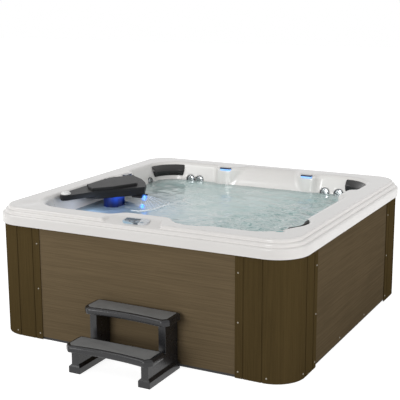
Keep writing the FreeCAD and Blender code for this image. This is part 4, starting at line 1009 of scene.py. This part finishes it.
INTO_WALL = 0.003           # how far the water's sheet runs into the wall


def water_sheet():
    plane = np.arange(-0.90, 0.901, 0.0085)
    x, y = [a.ravel() for a in np.meshgrid(plane, plane, indexing="ij")]
    deep = np.full_like(x, WATER)
    open_share = bowl(x, y, deep)
    index = np.arange(len(x)).reshape(len(plane), len(plane))
    quads = np.stack([index[:-1, :-1], index[1:, :-1], index[1:, 1:], index[:-1, 1:]], -1).reshape(-1, 4)
    quads = quads[(open_share[quads] < 0.002).any(1)]
    used, faces = np.unique(quads, return_inverse=True)
    points = np.stack([x[used], y[used], deep[used]], 1)
    for _ in range(4):
        depth = bowl(*points.T)
        over = depth > INTO_WALL
        slope = gradient(bowl, points)[over][:, :2]
        push = (depth[over] - INTO_WALL) / np.maximum((slope ** 2).sum(1), 0.2)
        points[over, :2] -= slope * push[:, None]
    depth = -bowl(*points.T)
    points[:, 2] += swell(points[:, 0], points[:, 1]) * np.clip(depth / 0.06, 0.15, 1)
    obj = piece("water", points, faces.reshape(-1, 4), "tub", "water")
    shore = obj.data.attributes.new("from_wall", "FLOAT", "POINT")
    shore.data.foreach_set("value", depth.astype(np.float32))


def water_finish():
    """Pale blue-green water with foam swirls and painted light: bluer by the lit can, darker teal where it
    ripples; clearer along the walls.
    """
    finish = Finish("water", painted(170, 189, 189), 0.12, IOR=1.33)
    x, y, _ = finish.axes()

    def near(centre_x, centre_y, squash, radius):
        """1 at the centre, 0 from the radius on."""
        across, along = x - centre_x, y - centre_y
        return (1 - (across * across + along * along * squash).root() / radius).clamped()

    shore = finish.attribute("from_wall")
    # Painted light: a blue glow on the water round the lit can, and a fainter one towards the front.
    blue = (near(-0.58, -0.33, 0.5, 0.50) ** 0.8 + near(-0.18, -0.55, 1.0, 0.55) * 0.35).clamped()
    patch = finish.noise(2.2, (1.0, 1.0, 0.0), 3.0, 0.55, 0.6)
    fold = finish.noise(3.4, (1.0, 1.5, 0.0), 2.5, 0.5, 2.2)
    fine = finish.noise(17.0, (1.0, 1.5, 0.0), 3.0, 0.55, 1.2)
    rough = (x * 1.1 - y * 0.35).rising(0.05, 0.55)
    dark = near(-0.33, 0.12, 0.6, 0.36)
    busy = (rough + dark * 1.2 + 0.03).clamped()
    swirl = (1 - abs(fold - 0.5) * 26.0).clamped() * patch.rising(0.36, 0.60)
    foam = (1 - abs(fine - 0.5) * 13.0).clamped() * busy * 0.55
    # Painted shade: darker teal where the water ripples, more towards the right and round the dark ripples
    # left of the middle.
    shade = fine.rising(0.48, 0.66) * (rough * 0.5 + dark * 0.6) + rough * 0.34
    colour = finish.mixed(patch.rising(0.25, 0.75), painted(190, 219, 217), painted(218, 236, 234))
    colour = finish.mixed((shade * 0.85).clamped(), colour, painted(98, 150, 147))
    colour = finish.mixed(blue * 0.9, colour, painted(166, 195, 226))
    colour = finish.mixed(((swirl * 0.85 + foam * 0.85) * 0.9).clamped(), colour, painted(240, 246, 246))
    finish.set(Base_Color=colour, Roughness=0.10 + foam * 0.3)
    finish.set(Alpha=(0.60 + shore.rising(0.0, 0.12) * 0.37 + foam * 0.2).clamped())
    finish.bump(fine * (busy * 0.7 + 0.03) + fold * 0.4, 0.009, 0.4)
    return finish


finishes["water"] = water_finish()
water_sheet()


def falling_finish():
    """Streaks of falling water, nearly clear between them, bluer and glowing towards the top: painted light
    of the lit outlet.
    """
    finish = Finish("falling water", painted(216, 226, 236), 0.15, Emission_Strength=0.25)
    streak = finish.noise(1.0, (90.0, 90.0, 4.0), 2.0)
    z = finish.axes()[2]
    high = z.rising(0.745, 0.80)
    side = finish.attribute("across")
    inner = side.rising(0.0, 0.22) * (1 - side.rising(0.80, 1.0))
    finish.set(Alpha=((streak.rising(0.50, 0.66) * 0.22 + 0.03 + high * 0.12) * inner).clamped(),
               Base_Color=finish.mixed(high, painted(226, 232, 234), painted(196, 216, 246)),
               Emission_Color=finish.mixed(high, painted(90, 96, 104), painted(120, 160, 220)))
    return finish


def glint_finish():
    # Painted glints: drops that glow, standing for the lit outlet's glints on the falling water.
    finish = Finish("lit drops", painted(170, 220, 255), 0.1, Emission_Strength=1.8)
    z = finish.axes()[2]
    high = z.rising(0.74, 0.80)
    finish.set(Emission_Color=finish.mixed(high, painted(110, 210, 255), painted(160, 214, 255)))
    return finish


def halo_finish():
    """Painted blue light round the glowing drops, gone towards its outline."""
    finish = Finish("light halo", painted(90, 150, 255), 0.4, Emission_Strength=0.9,
                    Emission_Color=painted(70, 140, 255), Specular_IOR_Level=0.0)
    rim = finish.out(finish.node("ShaderNodeLayerWeight", None, {"Blend": 0.5}), "Facing")
    grain = finish.noise(60.0, detail=2.0)
    finish.set(Alpha=((1 - rim) ** 2.2 * (0.55 + grain * 0.3)).clamped())
    return finish


def foam_finish():
    # A faint painted glow keeps the foam bright.
    finish = mottled("foam", painted(240, 244, 246), 0.5, scale=40.0, spread=0.02, Emission_Strength=0.12,
                     Emission_Color=painted(230, 238, 246))
    finish.bump(finish.noise(160.0), 0.004, 0.6)
    return finish


finishes["falling_water"] = falling_finish()
finishes["glint"] = glint_finish()
finishes["halo"] = halo_finish()
# The strands carry a faint blue painted glow.
finishes["strand"] = mottled("water strands", painted(226, 236, 248), 0.12, scale=60.0, spread=0.05,
                             Emission_Color=painted(170, 205, 255), Emission_Strength=0.3)
finishes["foam_line"] = foam_finish()
finishes["recess_water"] = mottled("water in the recess", painted(96, 160, 158), 0.1, scale=40.0, IOR=1.33)
FALL_ENDS = np.array([(-0.500, -0.285), (-0.414, -0.297), (-0.368, -0.245), (-0.350, -0.196),
                      (-0.338, -0.110), (-0.336, -0.001), (-0.372, 0.060)])
FALL_FROM, FALL_WIDTH = (-0.482, -0.142), 0.074
FALL_TOP, FALL_DROP = 0.800, 0.064


def fall_end(share):
    """Where the falling water meets the pool, share of the way across."""
    at, marks = share * (len(FALL_ENDS) - 1), range(len(FALL_ENDS))
    return [float(np.interp(at, marks, FALL_ENDS[:, k])) for k in range(2)]


def fall_point(share, run):
    """A place in the sheet, share of the way across and run of the way down."""
    flat = Vector((FALL_FROM[0], FALL_FROM[1] + FALL_WIDTH * share)).lerp(Vector(fall_end(share)), run)
    return Vector((*flat, FALL_TOP - FALL_DROP * (0.55 * run + 0.45 * run * run)))


def strand(points, radius, sides=6):
    """Rings of a round strand through the points, its ends closed to a point."""
    rings, verts = [], []
    for i, p in enumerate(points):
        ahead = (points[min(i + 1, len(points) - 1)] - points[max(i - 1, 0)]).normalized()
        side = ahead.cross(Vector((0, 0, 1)))
        side = side.normalized() if side.length > 1e-4 else Vector((1, 0, 0))
        up = side.cross(ahead)
        r = radius(i / (len(points) - 1))
        turns = np.arange(sides) * 2 * pi / sides
        verts += [p + (side * cos(t) + up * sin(t)) * r for t in turns]
        rings.append(range(i * sides, (i + 1) * sides))
    return verts, [tuple(reversed(rings[0])), tuple(rings[-1])] + between(rings)


def gathered(name, parts, slot):
    """Several closed strands as one piece."""
    points, faces = [], []
    for verts, loops in parts:
        faces += [tuple(i + len(points) for i in loop) for loop in loops]
        points += verts
    faced_out(piece(name, points, faces, "tub", slot))


def ball(centre, radius, count, least_share, sides):
    """A round drop, as a strand from its foot to its top."""
    line = [Vector(centre) + Vector((0, 0, radius * cos(t))) for t in np.linspace(pi, 0, count)]

    def radius_at(t):
        return radius * sin(pi * min(max(t, least_share), 1 - least_share))

    return strand(line, radius_at, sides)


def waterfall():
    """The sheet, its strands, the foam where it lands, and glowing drops with halos: painted glints, one at
    the water's surface a painted reflection.
    """
    across, down = 33, 15
    points = [fall_point(i / (across - 1), j / (down - 1)) for i in range(across) for j in range(down)]
    faces = [(i * down + j, i * down + j + 1, (i + 1) * down + j + 1, (i + 1) * down + j)
             for i in range(across - 1) for j in range(down - 1)]
    obj = piece("waterfall_sheet", points, faces, "tub", "falling_water")
    shares = obj.data.attributes.new("across", "FLOAT", "POINT")
    shares.data.foreach_set("value", np.repeat(np.linspace(0, 1, across), down).astype(np.float32))
    strands = []
    for share in (0.20, 0.33, 0.44, 0.53, 0.65, 0.74, 0.86):
        line = [fall_point(share, run) for run in np.linspace(0.0, 1.0, 12)]
        strands.append(strand(line, lambda t: 0.0009 * (1 - 0.6 * t)))
    gathered("waterfall_strands", strands, "strand")
    rng = np.random.default_rng(3)
    edge = []
    for share in np.linspace(0.02, 0.98, 60):
        x, y = fall_end(share)
        shift_x, shift_y = rng.uniform(-0.003, 0.003), rng.uniform(-0.003, 0.003)
        edge.append(Vector((x + shift_x, y + shift_y, WATER + 0.0015)))
    sizes = rng.uniform(0.0040, 0.0085, 60)

    def foam_radius(t):
        return float(np.interp(t, np.linspace(0, 1, 60), sizes)) * (1 - abs(2 * t - 1) ** 6)

    gathered("foam_line", [strand(edge, foam_radius)], "foam_line")
    # Painted glints: glowing drops; the one at the water's surface stands for a glint's painted reflection.
    drops = (((-0.481, -0.108, 0.7945), 0.0110), ((-0.476, -0.118, 0.782), 0.0065),
             ((-0.452, -0.184, 0.7405), 0.0100), ((-0.460, -0.170, 0.752), 0.005))
    gathered("lit_drops", [ball(centre, radius, 7, 0.03, 10) for centre, radius in drops], "glint")
    halos = (((-0.480, -0.110, 0.790), 0.026), ((-0.453, -0.182, 0.744), 0.020))
    gathered("light_halos", [ball(centre, radius, 13, 0.02, 18) for centre, radius in halos], "halo")


waterfall()
lathed("recess_water", in_mm((0, 58.5), (20, 58.3), (23.6, 58.0), (23.6, 4), (0, 4)), (*RECESS, 0.800),
       (0, 0, 1), "tub", "recess_water")


# Turned fittings

KNOB_LOW = 0.869
COVERS_AT = [(-0.430, -0.200, 0.220), (-0.430, 0.200, 0.220)]

lathed("air_knob_turned",
       in_mm((0, 16.5), (20, 16.8), (23.5, 16.2), (28, 12.8), (32.5, 8.5), (33.8, 5), (34, 1), (33, 0),
             (8, 0), (8, -20), (0, -20)),
       (-0.836, -0.560, KNOB_LOW), (0, 0, 1), body_name("air_knob"), "knob", ("air_knob",))
for number, place in enumerate(COVERS_AT):
    lathed("suction_cover_" + str(number),
           in_mm((0, 8.5), (30, 8.6), (42, 8), (53, 5.5), (59.5, 3), (60, 0.2), (19, 0.2), (19, -30),
                 (0, -30)),
           place, (1, 0, 0), "tub", "grille", ("suction_covers",))
lathed("footwell_lamp", in_mm((0, 7), (34, 6.8), (39, 5), (41.8, 3), (42, 0.2), (0, 0.2)),
       (0, -0.430, 0.300), (0, 1, 0), "tub", SLOT_OF["footwell_light"], ("footwell_light",))


# Parts that repeat, by geometry nodes

class Shape(Tree):
    """A geometry tree with named inputs."""

    def __init__(self, name):
        group = bpy.data.node_groups.new(name, "GeometryNodeTree")
        super().__init__(group)
        group.interface.new_socket("Geometry", in_out="INPUT", socket_type="NodeSocketGeometry")
        group.interface.new_socket("Geometry", in_out="OUTPUT", socket_type="NodeSocketGeometry")
        self.inlet = self.node("NodeGroupInput")
        self.outlet = self.node("NodeGroupOutput")
        self.slots = {}

    def size(self, name, value):
        socket = self.tree.interface.new_socket(name, in_out="INPUT", socket_type="NodeSocketFloat")
        self.slots[name] = (socket.identifier, value)
        return Value(self, self.inlet.outputs[name])

    def scattered(self, solid, slot):
        """The solid on every loose point of the source, turned the way the point faces."""
        source = Value(self, self.inlet.outputs[0])
        points = self.out(self.node("GeometryNodeMeshToPoints", None, {"Mesh": source}))
        facing = {"data_type": "FLOAT_VECTOR"}
        facing = self.out(self.node("GeometryNodeInputNamedAttribute", facing, {"Name": "facing"}))
        turn = self.out(self.node("FunctionNodeAlignRotationToVector", {"axis": "Z"}, {"Vector": facing}))
        copies = self.out(self.node("GeometryNodeInstanceOnPoints", None,
                                    {"Points": points, "Instance": solid, "Rotation": turn}))
        real = self.out(self.node("GeometryNodeRealizeInstances", None, {"Geometry": copies}))
        coat = {"Geometry": real, "Material": finishes[slot].material}
        self.put(self.outlet.inputs[0], self.out(self.node("GeometryNodeSetMaterial", None, coat)))

    def made(self, name, source, body, slot, stands_for=()):
        """The tree's result on a source mesh, as a plain mesh piece."""
        holder = placed(name + "_source", source)
        grown = holder.modifiers.new("shape", "NODES")
        grown.node_group = self.tree
        for identifier, value in self.slots.values():
            grown[identifier] = value
        bpy.context.view_layer.update()
        depsgraph = bpy.context.evaluated_depsgraph_get()
        mesh = bpy.data.meshes.new_from_object(holder.evaluated_get(depsgraph))
        bpy.data.objects.remove(holder)
        mesh.name = name
        obj = placed(name, mesh)
        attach(obj, body)
        if stands_for:
            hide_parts(*stands_for)


def spots(name, places, normals):
    """A mesh of loose points with the way each one faces."""
    mesh = bpy.data.meshes.new(name)
    mesh.from_pydata([tuple(p) for p in places], [], [])
    facing = mesh.attributes.new("facing", "FLOAT_VECTOR", "POINT")
    facing.data.foreach_set("vector", np.array(normals, np.float32).ravel())
    return mesh


def screw_heads():
    """Pan-head screws with a cross recess, one for each head in the solid."""
    work = solid_copy("panel_screws", flats_joined=False)
    left = dict.fromkeys(work.verts)    # a set that keeps its order, so that each run gives the same
    places, normals = [], []
    while left:
        island, edge = [], [left.popitem()[0]]
        while edge:
            vert = edge.pop()
            island.append(vert)
            for link in vert.link_edges:
                other = link.other_vert(vert)
                if other in left:
                    del left[other]
                    edge.append(other)
        points = np.array([v.co for v in island])
        middle = points.mean(0)
        _, _, ways = np.linalg.svd(points - middle)
        normal = ways[2] * (1 if ways[2] @ (middle * (1, 1, 0)) > 0 else -1)
        heights = (points - middle) @ normal
        places.append(middle + normal * heights.min())
        normals.append(normal)
    work.free()
    shape = Shape("screw heads")
    radius, height = shape.size("Head Radius", 0.0054), shape.size("Head Height", 0.0020)
    recess = shape.size("Recess Width", 0.0011)
    head = {"Vertices": 20, "Side Segments": 1, "Radius Top": radius * 0.72, "Radius Bottom": radius,
            "Depth": height}
    solid = shape.out(shape.node("GeometryNodeMeshCone", {"fill_type": "NGON"}, head))
    lift = shape.out(shape.node("ShaderNodeCombineXYZ", None, {2: height * 1.15}))
    for across, along in ((radius, recess), (recess, radius)):
        span = shape.out(shape.node("ShaderNodeCombineXYZ", None, {0: across, 1: along, 2: height}))
        bar = shape.out(shape.node("GeometryNodeMeshCube", None, {"Size": span}))
        bar = shape.out(shape.node("GeometryNodeTransform", None, {"Geometry": bar, "Translation": lift}))
        cut = shape.node("GeometryNodeMeshBoolean", {"operation": "DIFFERENCE", "solver": "EXACT"})
        shape.put(cut.inputs["Mesh 1"], solid)
        shape.put(cut.inputs["Mesh 2"], bar)
        solid = shape.out(cut)
    shape.scattered(solid, "zinc")
    shape.made("screw_heads", spots("screw spots", places, normals), "tub", "zinc", ("panel_screws",))


def cover_ribs():
    """Raised ribs round each suction cover."""
    places, normals = [], []
    for x, y, z in COVERS_AT:
        for ring, count in ((0.021, 10), (0.037, 18)):
            for i in range(count):
                turn = 2 * pi * i / count
                places.append((x + 0.0088, y + ring * cos(turn), z + ring * sin(turn)))
                normals.append((0, cos(turn), sin(turn)))
    shape = Shape("cover ribs")
    length, width = shape.size("Rib Length", 0.011), shape.size("Rib Width", 0.0022)
    span = shape.out(shape.node("ShaderNodeCombineXYZ", None, {0: width, 1: width, 2: length}))
    shape.scattered(shape.out(shape.node("GeometryNodeMeshCube", None, {"Size": span})), "grille")
    shape.made("suction_ribs", spots("rib spots", places, normals), "tub", "grille")


screw_heads()
cover_ribs()


# Camera, light and stage

WHITE = (1, 1, 1, 1)
SOFTBOXES = (
    # name, place, side length, watts, seen in gloss
    ("left_softbox", (-4.4, -3.4, 4.4), 3.0, 70.0, True),
    ("top_softbox", (-0.6, 1.6, 5.5), 4.5, 4.0, True),
    ("right_softbox", (5.6, -0.4, 1.4), 3.5, 120.0, False),
)
CAMERA_AT = (2.9593, -5.8162, 2.2448)
CAMERA_TURN = (-27.64, 12.49, 0.24)     # degrees to the left, down and rolled
CAMERA_LENS = 85.653
FLOOR_HALF = 30.0


def seen_directly(tree):
    """1 for rays from the camera, off gloss and through glass; 0 for the light that falls on things."""
    path = tree.node("ShaderNodeLightPath")
    camera, glossy, through = [
        tree.out(path, ray) for ray in ("Is Camera Ray", "Is Glossy Ray", "Is Transmission Ray")]
    return (camera + glossy + through).clamped()


def backdrop():
    world = bpy.data.worlds.new("studio")
    bpy.context.scene.world = world
    world.use_nodes = True
    tree = Tree(world.node_tree)
    tree.tree.nodes.clear()
    seen = seen_directly(tree)
    plain = tree.node("ShaderNodeBackground", None, {"Color": WHITE, "Strength": 0.36})
    white = tree.node("ShaderNodeBackground", None, {"Color": WHITE, "Strength": 1.0})
    both = tree.node("ShaderNodeMixShader", None, {0: seen, 1: tree.out(plain), 2: tree.out(white)})
    tree.node("ShaderNodeOutputWorld", None, {0: tree.out(both)})

    floor_mesh = bpy.data.meshes.new("floor")
    corners = [(a * FLOOR_HALF, b * FLOOR_HALF, 0) for a, b in ((-1, -1), (1, -1), (1, 1), (-1, 1))]
    floor_mesh.from_pydata(corners, [], [(0, 1, 2, 3)])
    floor = placed("floor", floor_mesh)
    paint = Finish("studio floor", (0.6, 0.6, 0.6, 1.0), 0.9)
    paint.set(Base_Color=paint.shaded(paint.noise(3.0), 0.985, 1.015))
    glow = paint.node("ShaderNodeEmission", None, {"Color": WHITE, "Strength": 0.86})
    matte = paint.out(paint.shader)
    lit = paint.out(paint.node("ShaderNodeAddShader", None, {0: matte, 1: paint.out(glow)}))
    chosen = paint.node("ShaderNodeMixShader", None, {0: seen_directly(paint), 1: matte, 2: lit})
    paint.tree.links.new(chosen.outputs[0], paint.output.inputs[0])
    floor_mesh.materials.append(paint.material)


def aimed(way):
    return way.to_track_quat("-Z", "Y").to_euler()


def lights():
    sun = bpy.data.lights.new("window_light", "SUN")
    sun.energy = 1.34
    sun.angle = radians(24)
    placed("window_light", sun).rotation_euler = aimed(Vector((0.12, 1.0, -0.26)))
    for name, place, size, power, glossy in SOFTBOXES:
        lamp = bpy.data.lights.new(name, "AREA")
        lamp.shape = "SQUARE"
        lamp.size = size
        lamp.energy = power
        obj = placed(name, lamp)
        obj.location = place
        obj.rotation_euler = aimed(Vector((0, 0, 0.4)) - Vector(place))
        obj.visible_glossy = glossy
    glow = bpy.data.lights.new("lens_light", "POINT")
    glow.color = (0.72, 0.80, 1.0)
    glow.energy = 0.62
    glow.shadow_soft_size = 0.09
    obj = placed("lens_light", glow)
    obj.location = (-0.71, -0.47, 0.79)
    obj.visible_camera = False
    obj.visible_glossy = False


def view():
    yaw, pitch, roll = [radians(a) for a in CAMERA_TURN]
    ahead = Vector((sin(yaw) * cos(pitch), cos(yaw) * cos(pitch), -sin(pitch)))
    right = Vector((cos(yaw), -sin(yaw), 0))
    down = ahead.cross(right)
    across = cos(roll) * right + sin(roll) * down
    below = -sin(roll) * right + cos(roll) * down
    turn = Matrix((across, -below, -ahead)).transposed()
    camera = bpy.data.cameras.new("camera")
    camera.sensor_width = 36.0
    camera.lens = CAMERA_LENS
    eye = placed("camera", camera)
    eye.matrix_world = Matrix.Translation(CAMERA_AT) @ turn.to_4x4()
    bpy.context.scene.camera = eye
    bpy.context.scene.view_settings.view_transform = "Standard"


backdrop()
lights()
view()
